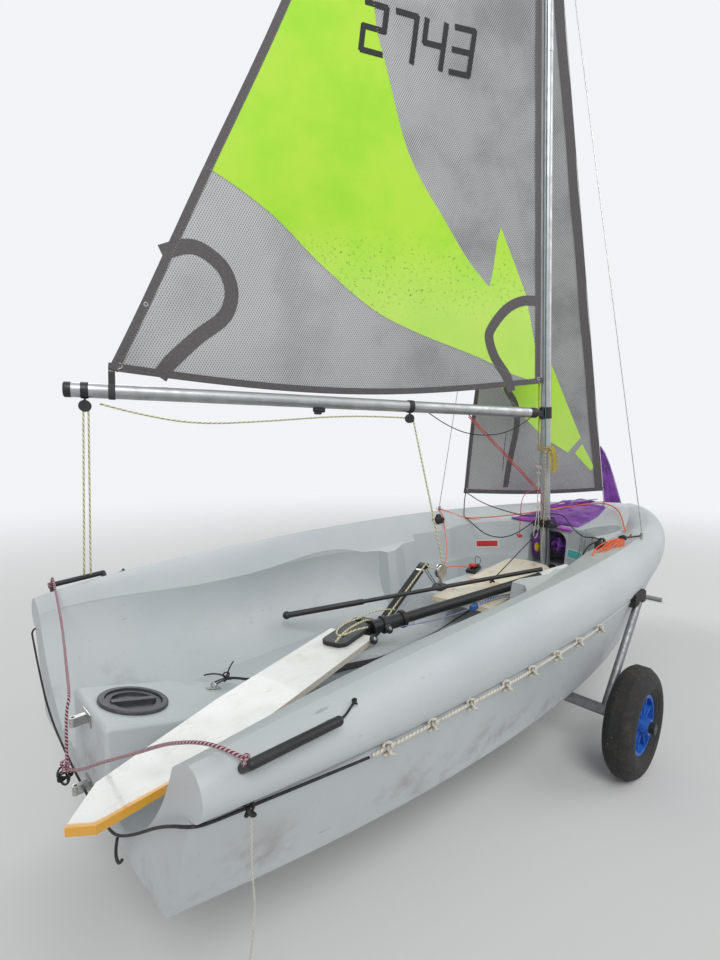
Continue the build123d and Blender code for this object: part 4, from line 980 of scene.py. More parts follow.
line("mainsheet_lead", [ratchet, ratchet.lerp(middle_block, 0.3), ratchet.lerp(middle_block, 0.7),
                        middle_block], 0.008, flecked_line, crossing=(ratchet, middle_block))

# Kicker: red lines from the boom to the mast's foot, and the tail with its ball
kicker_low, kicker_high = at(2.372, 0.008, 0.690), under_boom(0.50, 0.032)
for number, shift in enumerate((-0.008, 0.008)):
    aside = Vector((shift, shift, shift))
    line(f"kicker_{number + 1}", [kicker_low + aside, kicker_low.lerp(kicker_high, 0.4) + aside * 1.4,
                                  kicker_high + aside], 0.006, red_line,
         crossing=(kicker_low, kicker_high))
kicker_tail = [at(2.376, 0.012, 0.702), at(2.27, 0.022, 0.705), at(2.198, 0.025, 0.665),
               at(2.194, 0.026, 0.56), at(2.192, 0.026, 0.462)]
line("kicker_tail", kicker_tail, 0.004, red_line, far_end="knot", lay="hanging")
line("gate_line", [at(2.41, 0.0, 0.672), at(2.378, 0.004, 0.690), at(2.372, 0.0, 0.64),
                   at(2.40, -0.004, 0.60), at(2.405, -0.004, 0.545)], 0.004, red_line, far_end="object",
     lay="hanging")

# Outhaul hanging in a bight under the boom, with its thin tail
line("outhaul", [under_boom(0.74, 0.030), under_boom(0.66, 0.075), under_boom(0.52, 0.125),
                 under_boom(0.38, 0.135), under_boom(0.24, 0.115), under_boom(0.12, 0.055),
                 under_boom(0.085, 0.03)], 0.005, black_line, "boom_and_mainsail", far_end="object",
     lay="hanging")
line("outhaul_tail", [under_boom(0.245, 0.118), under_boom(0.250, 0.17), under_boom(0.252, 0.25),
                      under_boom(0.252, 0.32)], 0.003, black_line, "boom_and_mainsail", far_end="knot",
     lay="hanging")

# Jib sheets, black, from the clew to both sides
clew = at(2.306, 0.466, 0.652)
line("jib_sheet_port", [clew, at(2.296, 0.468, 0.60), at(2.284, 0.460, 0.53), at(2.272, 0.450, 0.500),
                        at(2.250, 0.405, 0.494), at(2.225, 0.345, 0.470), at(2.235, 0.26, 0.415),
                        at(2.31, 0.16, 0.405), at(2.436, 0.07, 0.50), at(2.44, 0.045, 0.535)], 0.006,
     black_line, far_end="object", lay="hanging")
line("jib_sheet_starboard", [clew, at(2.29, 0.42, 0.640), at(2.29, 0.35, 0.606), at(2.30, 0.25, 0.578),
                             at(2.34, 0.12, 0.548), at(2.405, 0.062, 0.537), at(2.52, 0.052, 0.548),
                             at(2.56, 0.0, 0.546), at(2.545, -0.06, 0.545), at(2.46, -0.14, 0.50),
                             at(2.33, -0.26, 0.474), at(2.2, -0.36, 0.505), at(2.08, -0.45, 0.525),
                             at(2.035, -0.47, 0.528), at(2.0, -0.46, 0.526), at(1.99, -0.425, 0.50),
                             at(2.01, -0.385, 0.42), at(2.06, -0.365, 0.345)], 0.006, black_line,
     far_end="object", lay="hanging")

# Orange line from the port shroud, forward round the bow fitting and back to its hank on the starboard side
line("orange_port", [at(2.192, 0.606, 0.545), at(2.15, 0.52, 0.53), at(2.03, 0.42, 0.485),
                     at(1.93, 0.335, 0.45), at(1.80, 0.22, 0.39), at(1.64, 0.12, 0.372),
                     at(1.60, 0.085, 0.366), at(1.66, 0.090, 0.362), at(1.76, 0.098, 0.345),
                     at(1.835, 0.096, 0.324)], 0.005, orange_line, far_end="object", lay="hanging")
line("orange_fore", [at(2.205, 0.60, 0.545), at(2.22, 0.54, 0.532), at(2.24, 0.46, 0.505),
                     at(2.29, 0.42, 0.495), at(2.36, 0.36, 0.500), at(2.44, 0.30, 0.506),
                     at(2.62, 0.22, 0.518), at(2.9, 0.15, 0.533), at(3.18, 0.07, 0.545),
                     at(3.262, 0.02, 0.552), at(3.262, -0.03, 0.552), at(3.14, -0.14, 0.542),
                     at(2.86, -0.27, 0.532), at(2.56, -0.39, 0.505), at(2.38, -0.47, 0.500),
                     at(2.24, -0.52, 0.520), at(2.19, -0.545, 0.548)], 0.008, orange_line,
     far_end="object", lay="loose")


# Lines on the outside of the hull: the knotted grab rope in the groove under each roll, the shock cord
# across the transom, the mainsheet's bridle between the quarter grips, and a thin cord with a knotted end.
GROOVE = ((0.000, 0.588, 0.326), (0.350, 0.655, 0.330), (0.900, 0.690, 0.332), (1.400, 0.695, 0.334),
          (2.000, 0.660, 0.345))


def in_groove(x, side):
    for (x0, y0, z0), (x1, y1, z1) in zip(GROOVE, GROOVE[1:]):
        if x0 <= x <= x1:
            share = (x - x0) / (x1 - x0)
            return at(x, side * (y0 + (y1 - y0) * share + 0.010), z0 + (z1 - z0) * share + 0.001)
    raise ValueError("outside the groove")


def knot(name, place, ahead, size, diameter, finish, body="boat"):
    """Overhand knot: a closed three-lobed run of the line, drawn up tight."""
    ahead = ahead.normalized()
    side = ahead.orthogonal().normalized()
    other = ahead.cross(side)
    turns = 36
    path = []
    for k in range(turns + 1):
        a = 2 * pi * k / turns
        path.append(place + side * (sin(a) + 2 * sin(2 * a)) * size / 6
                    + other * (cos(a) - 2 * cos(2 * a)) * size / 6 - ahead * sin(3 * a) * size / 4)
    fitted(tube(name, path, diameter / 2, 6), finish, body)


KNOTS_AT = (0.40, 0.54, 0.68, 0.83, 0.96, 1.11, 1.26, 1.43)
for side_name, side in (("starboard", -1), ("port", 1)):
    run = [in_groove(0.36 + 0.09 * k, side) for k in range(13)]
    line(f"grab_rope_{side_name}", run, 0.009, white_line, far_end="knot", lay="hanging")
    for number, x in enumerate(KNOTS_AT):
        knot(f"grab_knot_{side_name}_{number}", in_groove(x, side) + Vector((0, side * 0.006, 0)), AHEAD,
             0.030, 0.008, white_line)
    cord_run = [in_groove(x, side) for x in (0.352, 0.27, 0.18, 0.09, 0.02)]
    line(f"groove_cord_{side_name}", cord_run + [at(-0.006, side * 0.596, 0.334),
                                                 at(-0.014, side * 0.57, 0.325)], 0.006, black_line)
    knot(f"groove_knot_{side_name}", in_groove(0.095, side) + Vector((0, side * 0.008, 0)), AHEAD, 0.026,
         0.006, black_line)

transom_run = [at(-0.014, 0.57, 0.325), at(-0.014, 0.50, 0.240), at(-0.014, 0.37, 0.130),
               at(-0.014, 0.15, 0.090), at(-0.014, -0.05, 0.080), at(-0.014, -0.2, 0.090),
               at(-0.016, -0.275, 0.125), at(-0.016, -0.38, 0.195), at(-0.016, -0.50, 0.285),
               at(-0.014, -0.57, 0.325)]
line("transom_cord", transom_run, 0.006, black_line)
hook_path = smooth([at(-0.020, -0.272, 0.124), at(-0.026, -0.278, 0.110), at(-0.028, -0.285, 0.088),
                    at(-0.026, -0.298, 0.082), at(-0.022, -0.304, 0.094)])
fitted(tube("cord_hook", hook_path, 0.0035), black_plastic)

# Bridle: from the port grip in over the open transom to the rudder fittings, and on to the starboard grip
line("bridle_port", [at(0.066, 0.664, 0.456), at(0.062, 0.625, 0.497), at(0.058, 0.585, 0.486),
                     at(0.056, 0.545, 0.452), at(0.030, 0.36, 0.396), at(-0.012, 0.14, 0.352),
                     at(-0.036, 0.012, 0.334), at(-0.046, 0.010, 0.30), at(-0.050, 0.002, 0.22),
                     at(-0.052, -0.004, 0.162)], 0.007, bridle_line, far_end="object", lay="hanging")
line("bridle_starboard", [at(-0.052, -0.004, 0.158), at(-0.045, -0.06, 0.176), at(-0.03, -0.20, 0.262),
                          at(-0.012, -0.36, 0.352), at(0.004, -0.455, 0.408), at(0.014, -0.50, 0.430),
                          at(0.032, -0.56, 0.452), at(0.050, -0.61, 0.458), at(0.066, -0.65, 0.452)],
     0.007, bridle_line, far_end="object", lay="hanging")
for name, place, size in (("bridle_knot_port", at(0.064, 0.668, 0.452), 0.016),
                          ("bridle_knot_starboard", at(0.066, -0.662, 0.452), 0.018),
                          ("bridle_knot_middle", at(-0.054, -0.002, 0.164), 0.030)):
    knot(name, place, Vector((1, 0, 0.1)), size, 0.007, bridle_line)
for number, size in enumerate((0.044, 0.036)):
    knot(f"fitting_knot_{number}", at(-0.056, -0.006 + 0.012 * number, 0.146 - 0.014 * number),
         Vector((0.2, 1, 0.3 * number)), size, 0.005, black_line)

# Ends of the cords through the grips, and the thin cord that hangs below the starboard corner
for side_name, side in (("starboard", -1), ("port", 1)):
    end = line(f"grip_cord_{side_name}", [at(0.255, side * 0.673, 0.447), at(0.272, side * 0.672, 0.450),
                                          at(0.286, side * 0.669, 0.454), at(0.300, side * 0.665, 0.460),
                                          at(0.312, side * 0.662, 0.464)], 0.005, black_line)
    knot(f"grip_cord_knot_{side_name}", end[-1], AHEAD, 0.012, 0.004, black_line)
line("tag_cord", [in_groove(0.098, -1) + Vector((0, -0.006, -0.004)), at(0.100, -0.622, 0.29),
                  at(0.105, -0.612, 0.20), at(0.120, -0.60, 0.11), at(0.122, -0.585, 0.02),
                  at(0.118, -0.575, -0.045)], 0.004, white_line, far_end="knot", lay="hanging")
knot("tag_cord_end", at(0.118, -0.575, -0.050), UP, 0.014, 0.004, white_line)


# Spinnaker gear on the foredeck: a purple nylon cover laid over its stowage, turned down and hemmed at the
# edges, a soft pouch just forward of the mast, and a corner of the sail standing by the forestay.
def nylon_finish(name, base, shade):
    finish = Finish(name)
    fold = finish.noise(9.0, 4.0, 0.6)
    # The second colour is a shaded copy of the first, laid in patches by the fold noise: painted shade.
    tone = finish.mix(finish.ramp(fold, 0.35, 0.7), base, shade)
    finish.set("Base Color", finish.mix(finish.ramp(finish.noise(42.0, 4.0), 0.6, 0.75) * 0.35, tone,
                                        colour(176, 146, 190)))
    finish.set("Roughness", finish.ramp(fold, 0.3, 0.7, 0.42, 0.62))
    finish.bump(fold + finish.noise(700.0, 2.0) * 0.2, 0.4, 0.002)
    return finish


# Its second colour is this purple as seen in shade, painted into patches as painted shade.
purple_nylon = nylon_finish("purple_nylon", colour(136, 70, 172), colour(92, 44, 126))
NYLON_CLOTH = 0.0008
COVER_X, COVER_RUN = 2.526, 0.711
COVER_Z, COVER_RISE = 0.486, 0.049
COVER_STARBOARD = ((0.0, -0.150), (0.374, -0.112), (0.711, -0.030))
COVER_PORT = ((0.0, 0.262), (0.274, 0.240), (0.674, 0.096), (0.711, -0.018))


def edge_of(table, x):
    for (x0, y0), (x1, y1) in zip(table, table[1:]):
        if x <= x1:
            return y0 + (y1 - y0) * (x - x0) / (x1 - x0)
    return table[-1][1]


def deck_cover():
    rows, columns, turn_down = 44, 26, 4
    places, flat, faces = [], [], []
    for i in range(-turn_down, rows + 1):
        x = COVER_RUN * max(i, 0) / rows
        low, high = edge_of(COVER_STARBOARD, x), edge_of(COVER_PORT, x)
        for j in range(columns + 1):
            v = j / columns
            y = low + (high - low) * v
            crown = 1 - abs(2 * v - 1) ** 5
            fold = 0.0035 * sin(30 * y + 9 * x) + 0.0025 * sin(58 * x + 14 * y)
            fold += 0.002 * sin(90 * y * (1.3 - x))
            z = COVER_Z + 0.003 + COVER_RISE * x + crown * (0.017 + fold)
            back = 0.0
            if i < 0:
                back = 0.008 * sin(pi * -i / turn_down)
                z -= 0.020 * crown * -i / turn_down
            places.append(at(COVER_X + x - back, y, z))
            flat.append((x + min(i, 0) * 0.006, y))
    for i in range(rows + turn_down):
        for j in range(columns):
            a = i * (columns + 1) + j
            faces.append((a, a + columns + 1, a + columns + 2, a + 1))
    piece = thickened(mesh_piece("foredeck_cover", places, faces, flat), NYLON_CLOTH)
    purple_nylon.dress(piece)
    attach(piece, "boat")
    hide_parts("gennaker_bag")
    steps = 60
    area = sum((edge_of(COVER_PORT, COVER_RUN * (k + 0.5) / steps)
                - edge_of(COVER_STARBOARD, COVER_RUN * (k + 0.5) / steps)) * COVER_RUN / steps
               for k in range(steps))
    round(area * 1.035, 4)


deck_cover()
for side_name, table in (("starboard", COVER_STARBOARD), ("port", COVER_PORT)):
    hem_run = [at(COVER_X + x, edge_of(table, x), COVER_Z + 0.0045 + COVER_RISE * x)
               for x in (COVER_RUN * k / 12 for k in range(13))]
    fitted(tube(f"cover_hem_{side_name}", smooth(hem_run), 0.0045), purple_nylon)


def puffed(piece, pressure, cap):
    """Fabric blown out from inside by Blender's cloth, each point held within a cap of its place."""
    start = [v.co.copy() for v in piece.data.vertices]
    cloth = piece.modifiers.new("cloth", "CLOTH")
    cloth.settings.use_pressure = True
    cloth.settings.uniform_pressure_force = pressure
    cloth.settings.effector_weights.gravity = 0
    for step in range(1, 21):
        bpy.context.scene.frame_set(step)
    shape = piece.evaluated_get(bpy.context.evaluated_depsgraph_get())
    moved = [v.co.copy() for v in shape.data.vertices]
    piece.modifiers.remove(cloth)
    bpy.context.scene.frame_set(1)
    for vertex, before, after in zip(piece.data.vertices, start, moved):
        step = after - before
        vertex.co = before + step * min(1.0, cap / max(step.length, 1e-9))
    return piece


POUCH_MIDDLE = at(2.530, 0.078, 0.372)
POUCH_ROWS = ((-0.085, 0.35), (-0.080, 0.62), (-0.068, 0.84), (-0.045, 0.97), (-0.01, 1.0), (0.03, 0.97),
              (0.055, 0.86), (0.066, 0.66), (0.073, 0.52), (0.080, 0.60), (0.085, 0.74))


def pouch():
    around = 64
    places = []
    rows = arc_through(POUCH_ROWS, 3)
    for height, share in rows:
        gather = max(0.0, (height - 0.03) / 0.055)
        for k in range(around):
            a = 2 * pi * k / around
            reach = share * (1 + 0.10 * gather * sin(9 * a) + 0.02 * sin(3 * a + height * 40))
            c, n = cos(a), sin(a)
            places.append(POUCH_MIDDLE + Vector((abs(c) ** 0.7 * (1 if c > 0 else -1) * 0.034 * reach,
                                                 abs(n) ** 0.7 * (1 if n > 0 else -1) * 0.052 * reach,
                                                 height)))
    ends = [POUCH_MIDDLE + Vector((0, 0, height)) for height in (rows[0][0], rows[-1][0] - 0.012)]
    faces = ring_faces(places, around, ends)
    piece = puffed(mesh_piece("gear_pouch", places, faces), 3.0, 0.006)
    purple_nylon.dress(piece)
    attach(piece, "boat")
    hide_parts("bag_pouch")


pouch()
line("pouch_drawstring", [POUCH_MIDDLE + Vector((-0.020, -0.018, 0.074)),
                          POUCH_MIDDLE + Vector((-0.026, 0.010, 0.075)),
                          POUCH_MIDDLE + Vector((-0.010, 0.028, 0.077)),
                          POUCH_MIDDLE + Vector((0.012, 0.026, 0.08)),
                          POUCH_MIDDLE + Vector((0.018, 0.012, 0.100)),
                          POUCH_MIDDLE + Vector((0.012, 0.004, 0.112))], 0.003, white_line)


def ball(name, middle, reach):
    """Ball or egg with its own reach along each axis."""
    places, faces = [], []
    rows, around = 14, 24
    for j in range(1, rows):
        lean = pi * j / rows
        for k in range(around):
            a = 2 * pi * k / around
            places.append(middle + Vector((reach[0] * sin(lean) * cos(a), reach[1] * sin(lean) * sin(a),
                                           reach[2] * cos(lean))))
    for j in range(rows - 2):
        for k in range(around):
            a, b = j * around + k, j * around + (k + 1) % around
            faces.append((a, a + around, b + around, b))
    top, low = len(places), len(places) + 1
    places += [middle + Vector((0, 0, reach[2])), middle - Vector((0, 0, reach[2]))]
    last = (rows - 2) * around
    for k in range(around):
        faces.append((top, k, (k + 1) % around))
        faces.append((low, last + (k + 1) % around, last + k))
    return mesh_piece(name, places, faces)


yellow_float = ball("pouch_float", at(2.478, 0.064, 0.345), (0.015, 0.018, 0.028))
fitted(yellow_float, moulded_finish("yellow_foam", colour(226, 190, 40), 0.6))


def sail_corner():
    """Corner of the spinnaker, drawn up along the forestay and lashed to the bow."""
    rows, columns, height = 30, 24, 0.41
    places, flat = [], []
    for j in range(rows + 1):
        v = j / rows
        width = 0.150 * (1 - v) ** 0.66 + 0.004
        for i in range(columns + 1):
            u = i / columns
            pleat = 0.010 * sin(2 * pi * 3 * u + 1.3 * v) * (1 - v) ** 0.5 * sin(pi * u)
            out = Vector((0.010 + u * width, -0.36 * u * width + pleat, -0.012 * u * (1 - v)))
            places.append(stay_foot + stay_up * (0.004 + height * v) + out)
            flat.append((u * 0.17, v * height))
    edge = [places[j * (columns + 1) + columns] for j in range(0, rows + 1, 3)]
    return thickened(mesh_piece("sail_corner", places, grid_faces(rows, columns), flat), NYLON_CLOTH), edge


corner, corner_edge = sail_corner()
fitted(corner, purple_nylon)
NYLON_TAPE = 0.0042
nylon_tape = nylon_finish("nylon_tape", colour(214, 206, 222), colour(176, 160, 190))
fitted(tube("sail_corner_tape", smooth(corner_edge), NYLON_TAPE), nylon_tape)


def bunch(name, path, reach, finish):
    """Sail gathered into a loose roll: its section swells and folds along the way."""
    around, places = 40, []
    for k, place in enumerate(path):
        share = k / (len(path) - 1)
        ahead = (path[min(k + 1, len(path) - 1)] - path[max(k - 1, 0)]).normalized()
        side = UP.cross(ahead).normalized()
        rise = ahead.cross(side)
        swell = reach * (0.12 + 0.88 * sin(pi * share) ** 0.6) * (1 + 0.16 * sin(17 * share + 0.6))
        for i in range(around):
            a = 2 * pi * i / around
            fold = 1 + 0.13 * sin(5 * a + 9 * share) + 0.07 * sin(9 * a - 14 * share)
            places.append(place + (side * cos(a) * 1.35 + rise * sin(a) * 0.85) * swell * fold)
    faces = ring_faces(places, around, (path[0], path[-1]))
    piece = fitted(mesh_piece(name, places, faces), finish)


bunch_route = [at(2.98, 0.270, 0.512), at(3.06, 0.232, 0.524), at(3.14, 0.180, 0.538),
               at(3.22, 0.118, 0.550), at(3.275, 0.055, 0.558)]
bunch("sail_roll", smooth(bunch_route), 0.030, purple_nylon)
# A lighter copy of the purple nylon for the cover's rolled front edge: painted light.
nylon_painted_light = nylon_finish("nylon_painted_light", colour(190, 96, 212), colour(146, 70, 180))
bunch("cover_front_roll", smooth([at(2.476, -0.150, 0.474), at(2.477, -0.06, 0.480),
                                  at(2.494, 0.06, 0.499), at(2.502, 0.16, 0.500),
                                  at(2.512, 0.262, 0.499)]), 0.019, nylon_painted_light)
bunch("stowed_sail", smooth([at(2.575, y, 0.370) for y in (-0.115, -0.07, -0.02, 0.02)]), 0.058,
      purple_nylon)
roll_tape = tube("sail_roll_tape", smooth([p + Vector((-0.012, -0.022, 0.018)) for p in bunch_route[1:]]),
                 NYLON_TAPE)
fitted(roll_tape, nylon_tape)


# Toe straps: black woven webbing from the console's end, the port one held up by shock cord at the sheet's
# base, the starboard one slack along the floor to the side ledge; both are sewn across at the after end.
def webbing_finish(name, base, rib):
    finish = Finish(name, Roughness=0.75)
    across = finish.axis(1, "UV") / 0.0030
    along_it = finish.axis(0, "UV") / 0.0042
    weave = abs((along_it + across) % 1.0 - 0.5) + abs((along_it - across) % 1.0 - 0.5)
    worn = finish.noise(26.0, 4.0, 0.7)
    finish.set("Base Color", finish.mix(finish.ramp(worn, 0.5, 0.78) * 0.5,
                                        finish.mix(finish.ramp(weave, 0.3, 0.8), base, rib),
                                        colour(92, 90, 86)))
    finish.bump(weave, 0.5, 0.0008)
    return finish


black_webbing = webbing_finish("black_webbing", colour(22, 22, 24), colour(42, 42, 45))
STRAP_WIDTH, STRAP_THICKNESS = 0.044, 0.003


def band(name, points, rolls):
    """Webbing along a route; each roll turns its width from level, in degrees, at that share of the run."""
    path = smooth(points)
    places, flat = [], []
    run, cells = 0.0, 4
    for k, place in enumerate(path):
        ahead = (path[min(k + 1, len(path) - 1)] - path[max(k - 1, 0)]).normalized()
        run += (place - path[max(k - 1, 0)]).length
        share = k / (len(path) - 1) * (len(rolls) - 1)
        first = min(int(share), len(rolls) - 2)
        roll = radians(rolls[first] + (rolls[first + 1] - rolls[first]) * (share - first))
        level = ahead.cross(UP).normalized()
        across = Matrix.Rotation(roll, 3, ahead) @ level
        for j in range(cells + 1):
            off = (j / cells - 0.5) * STRAP_WIDTH
            places.append(place + across * off)
            flat.append((run, off))
    strap = thickened(mesh_piece(name, places, grid_faces(len(path) - 1, cells), flat), STRAP_THICKNESS)
    piece = fitted(strap, black_webbing)
    return piece


PORT_STRAP = [at(0.60, 0.026, 0.162), at(0.80, 0.028, 0.163), at(0.97, 0.029, 0.164),
              at(1.04, 0.034, 0.174), at(1.20, 0.070, 0.250), at(1.36, 0.103, 0.326),
              at(1.49, 0.132, 0.388)]
STARBOARD_STRAP = [at(0.60, -0.026, 0.163), at(0.74, -0.036, 0.164), at(0.86, -0.075, 0.166),
                   at(0.98, -0.125, 0.172), at(1.17, -0.145, 0.200), at(1.36, -0.172, 0.250),
                   at(1.47, -0.210, 0.292), at(1.60, -0.265, 0.312), at(1.76, -0.330, 0.290)]
port_strap = band("toe_strap_port", PORT_STRAP, (0, 0, 0, 6, 10, 12))
band("toe_strap_starboard", STARBOARD_STRAP, (0, 0, -10, -42, -34, 0))
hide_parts("toe_straps")


def sewn_box(name, centre, ahead, across, length, width, finish):
    """A box of stitches with a cross, where webbing is folded back and sewn."""
    corners = [centre + ahead * (length / 2 * a) + across * (width / 2 * b)
               for a, b in ((-1, -1), (1, -1), (1, 1), (-1, 1))]
    route = [corners[0], corners[1], corners[2], corners[3], corners[0], corners[2], corners[1], corners[3]]
    lift = ahead.cross(across).normalized()
    lift = lift if lift.z > 0 else -lift
    threads = []
    for a, b in zip(route, route[1:]):
        count = max(2, int((b - a).length / 0.004))
        threads += [(a.lerp(b, (k + 0.15) / count), a.lerp(b, (k + 0.75) / count)) for k in range(count)]
    places, faces = [], []
    for a, b in threads:
        side = (b - a).cross(lift).normalized() * 0.0006
        first = len(places)
        places += [a - side + lift * 0.0014, a + side + lift * 0.0014, b + side + lift * 0.0014,
                   b - side + lift * 0.0014, (a + b) / 2 + lift * 0.0026]
        faces += [(first, first + 1, first + 4), (first + 1, first + 2, first + 4),
                  (first + 2, first + 3, first + 4), (first + 3, first, first + 4),
                  (first + 3, first + 2, first + 1, first)]
    fitted(mesh_piece(name, places, faces), finish)


sewn_box("strap_stitches_port", at(0.635, 0.026, 0.1622), AHEAD, TO_PORT, 0.05, 0.034, white_tape)
sewn_box("strap_stitches_starboard", at(0.635, -0.027, 0.1632), AHEAD, TO_PORT, 0.05, 0.034, white_tape)


def moulding(name, centre, size, finish, bevel=0.3, ahead=AHEAD, body="boat"):
    """Small moulded block with rounded edges, its length along the direction given."""
    work = bmesh.new()
    bmesh.ops.create_cube(work, size=1.0)
    bmesh.ops.scale(work, vec=size, verts=work.verts)
    bmesh.ops.bevel(work, geom=work.edges[:], offset=min(size) * bevel, segments=3, affect="EDGES",
                    profile=0.6)
    ahead = ahead.normalized()
    side = UP.cross(ahead).normalized()
    turn = Matrix((ahead, side, ahead.cross(side))).transposed()
    bmesh.ops.transform(work, matrix=Matrix.Translation(centre) @ turn.to_4x4(), verts=work.verts)
    mesh = bpy.data.meshes.new(name)
    work.to_mesh(mesh)
    work.free()
    piece = bpy.data.objects.new(name, mesh)
    bpy.context.scene.collection.objects.link(piece)
    fitted(piece, finish, body)


# Port strap's end: plastic eye and metal clip, with shock cord down to the sheet's base
strap_end = at(1.490, 0.132, 0.388)
strap_ahead = Vector((0.48, 0.102, 0.226)).normalized()
moulding("strap_eye", strap_end + strap_ahead * 0.004 - Vector((0, 0, 0.004)), (0.030, 0.052, 0.016),
         black_plastic, 0.4, strap_ahead)
moulding("strap_clip", strap_end - strap_ahead * 0.040 + Vector((0, 0, 0.0010)), (0.012, 0.050, 0.0085),
         stainless, 0.35, strap_ahead)
for number, shift in enumerate((-0.008, 0.008)):
    line(f"strap_shock_cord_{number}", [strap_end + Vector((shift, -0.010, -0.008)),
                                        at(1.490 + shift, 0.100, 0.355), at(1.487 + shift, 0.064, 0.322),
                                        at(1.486 + shift * 0.6, 0.055, 0.3185)], 0.004, black_line)
tail_route = [strap_end + Vector((0.004, -0.012, 0.008)), at(1.492, 0.095, 0.384),
              at(1.494, 0.060, 0.382), at(1.494, 0.036, 0.392)]
line("sheet_tail_aft", tail_route, 0.007, flecked_line, far_end="object", lay="hanging")
flecked_route = [strap_end + Vector((0.002, -0.014, 0.008)), at(1.36, 0.090, 0.334),
                 at(1.20, 0.058, 0.259), at(1.10, 0.036, 0.212), at(1.03, -0.010, 0.262),
                 at(0.93, -0.070, 0.318), at(0.86, -0.096, 0.330), at(0.79, -0.120, 0.335),
                 at(0.72, -0.150, 0.333), at(0.69, -0.165, 0.328)]
line("sheet_tail", flecked_route, 0.007, flecked_line, far_end="object", lay="loose")

# Black cam cleat with a red top for the pole's line, on the port side of the centre case
CLEAT = at(1.865, 0.100, 0.300)
cleat_ahead = Vector((0.9, 0.3, 0)).normalized()
red_plastic = moulded_finish("red_plastic", colour(196, 40, 34), 0.4)
moulding("cleat_base", CLEAT + Vector((0, 0, 0.010)), (0.120, 0.052, 0.020), black_plastic, 0.35,
         cleat_ahead)
for number, side in enumerate((-0.014, 0.014)):
    moulding(f"cleat_jaw_{number}", CLEAT + cleat_ahead * 0.012 + Vector((-0.3, 0.9, 0)) * side
             + Vector((0, 0, 0.027)), (0.034, 0.018, 0.018), black_plastic, 0.45,
             Matrix.Rotation(radians(16 if side > 0 else -16), 3, "Z") @ cleat_ahead)
moulding("cleat_top", CLEAT - cleat_ahead * 0.020 + Vector((0, 0, 0.036)), (0.038, 0.034, 0.014),
         red_plastic, 0.45, cleat_ahead)
loop_route = [CLEAT + cleat_ahead * 0.045 + Vector((0, 0, 0.016)), CLEAT + cleat_ahead * 0.075
              + Vector((0, 0.02, 0.050)), CLEAT + cleat_ahead * 0.105 + Vector((0, 0.01, 0.058)),
              CLEAT + cleat_ahead * 0.100 + Vector((0, -0.02, 0.040)), CLEAT + cleat_ahead * 0.050
              + Vector((0, -0.012, 0.014))]
line("cleat_loop", loop_route, 0.003, black_line)

# Pole's lines on the starboard side: a thin violet one from the rudder stock to a small blue block, and
# the doubled blue one from there to the ledge
violet_line = braid_finish("line_violet", colour(150, 140, 196), colour(96, 86, 150), 0.3)
line("violet_line", [at(1.015, -0.150, 0.290), at(1.12, -0.195, 0.294), at(1.22, -0.230, 0.304),
                     at(1.300, -0.256, 0.318)], 0.004, violet_line, far_end="object", lay="hanging")
moulding("blue_block", at(1.335, -0.258, 0.320), (0.050, 0.018, 0.024),
         moulded_finish("blue_plastic", colour(28, 84, 150), 0.35), 0.4, Vector((1, 0.1, 0)))
for number, (shift, lift) in enumerate(((-0.010, 0.004), (0.012, -0.003))):
    line(f"blue_line_{number}", [at(1.356, -0.258, 0.320), at(1.42, -0.258 + shift, 0.326 + lift),
                                 at(1.49, -0.266 + shift, 0.330 + lift),
                                 at(1.591, -0.290 + shift, 0.328 + lift),
                                 at(1.700, -0.316 + shift, 0.318 + lift),
                                 at(1.745, -0.330 + shift, 0.300)], 0.005, blue_line, far_end="object",
         lay="hanging")

# Shock cord that holds the daggerboard, from the mast to a knot over the extension
hold_route = [at(2.400, -0.008, 0.500), at(2.252, -0.026, 0.448), at(1.93, -0.098, 0.404),
              at(1.70, -0.150, 0.372), at(1.600, -0.174, 0.360)]
line("board_shock_cord", hold_route, 0.005, black_line, far_end="knot", lay="hanging")
knot("board_cord_knot", hold_route[-1], AHEAD, 0.026, 0.005, black_line)


# Halyards and what is tied at the mast: lines led down its after side, the yellow one down its port flank to
# a hank, a white end with a loop and a clip, and at the gate ring eyes with small blocks and a black lashing.
def by_mast(height, aft=0.034, port=0.0):
    """A place beside the mast: height above the keel, distance aft of its axis and to port."""
    up_mast = (height - MAST_FOOT_HEIGHT) / cos(mast_rake)
    return mast_foot + mast_up * up_mast + mast_aft * aft + Vector((0, port, 0))


for name, port, finish, low, aft in (("halyard_white", 0.018, white_line, 0.84, 0.036),
                                     ("halyard_yellow", 0.030, yellow_line, 0.95, 0.022),
                                     ("halyard_teal", -0.016, teal_line, 0.75, 0.033)):
    line(name, [by_mast(low, aft, port), by_mast(1.6, aft + 0.004, port), by_mast(2.8, aft + 0.004, port),
                by_mast(3.86, aft, port)], 0.005, finish)
line("halyard_tail_white", [by_mast(0.84, 0.036, 0.018), by_mast(0.80, 0.052, 0.020),
                            by_mast(0.74, 0.050, 0.016), by_mast(0.66, 0.066, 0.014),
                            by_mast(0.58, 0.078, 0.010), by_mast(0.50, 0.100, 0.012),
                            by_mast(0.445, 0.115, 0.014), by_mast(0.430, 0.098, 0.010),
                            by_mast(0.455, 0.078, 0.006), by_mast(0.54, 0.068, 0.006),
                            by_mast(0.64, 0.056, 0.012)], 0.005, white_line, far_end="knot",
     lay="hanging")
for number, (height, size) in enumerate(((0.835, 0.030), (0.80, 0.026), (0.735, 0.024))):
    knot(f"halyard_knot_{number}", by_mast(height, 0.052, 0.018), mast_up, size, 0.005, white_line)

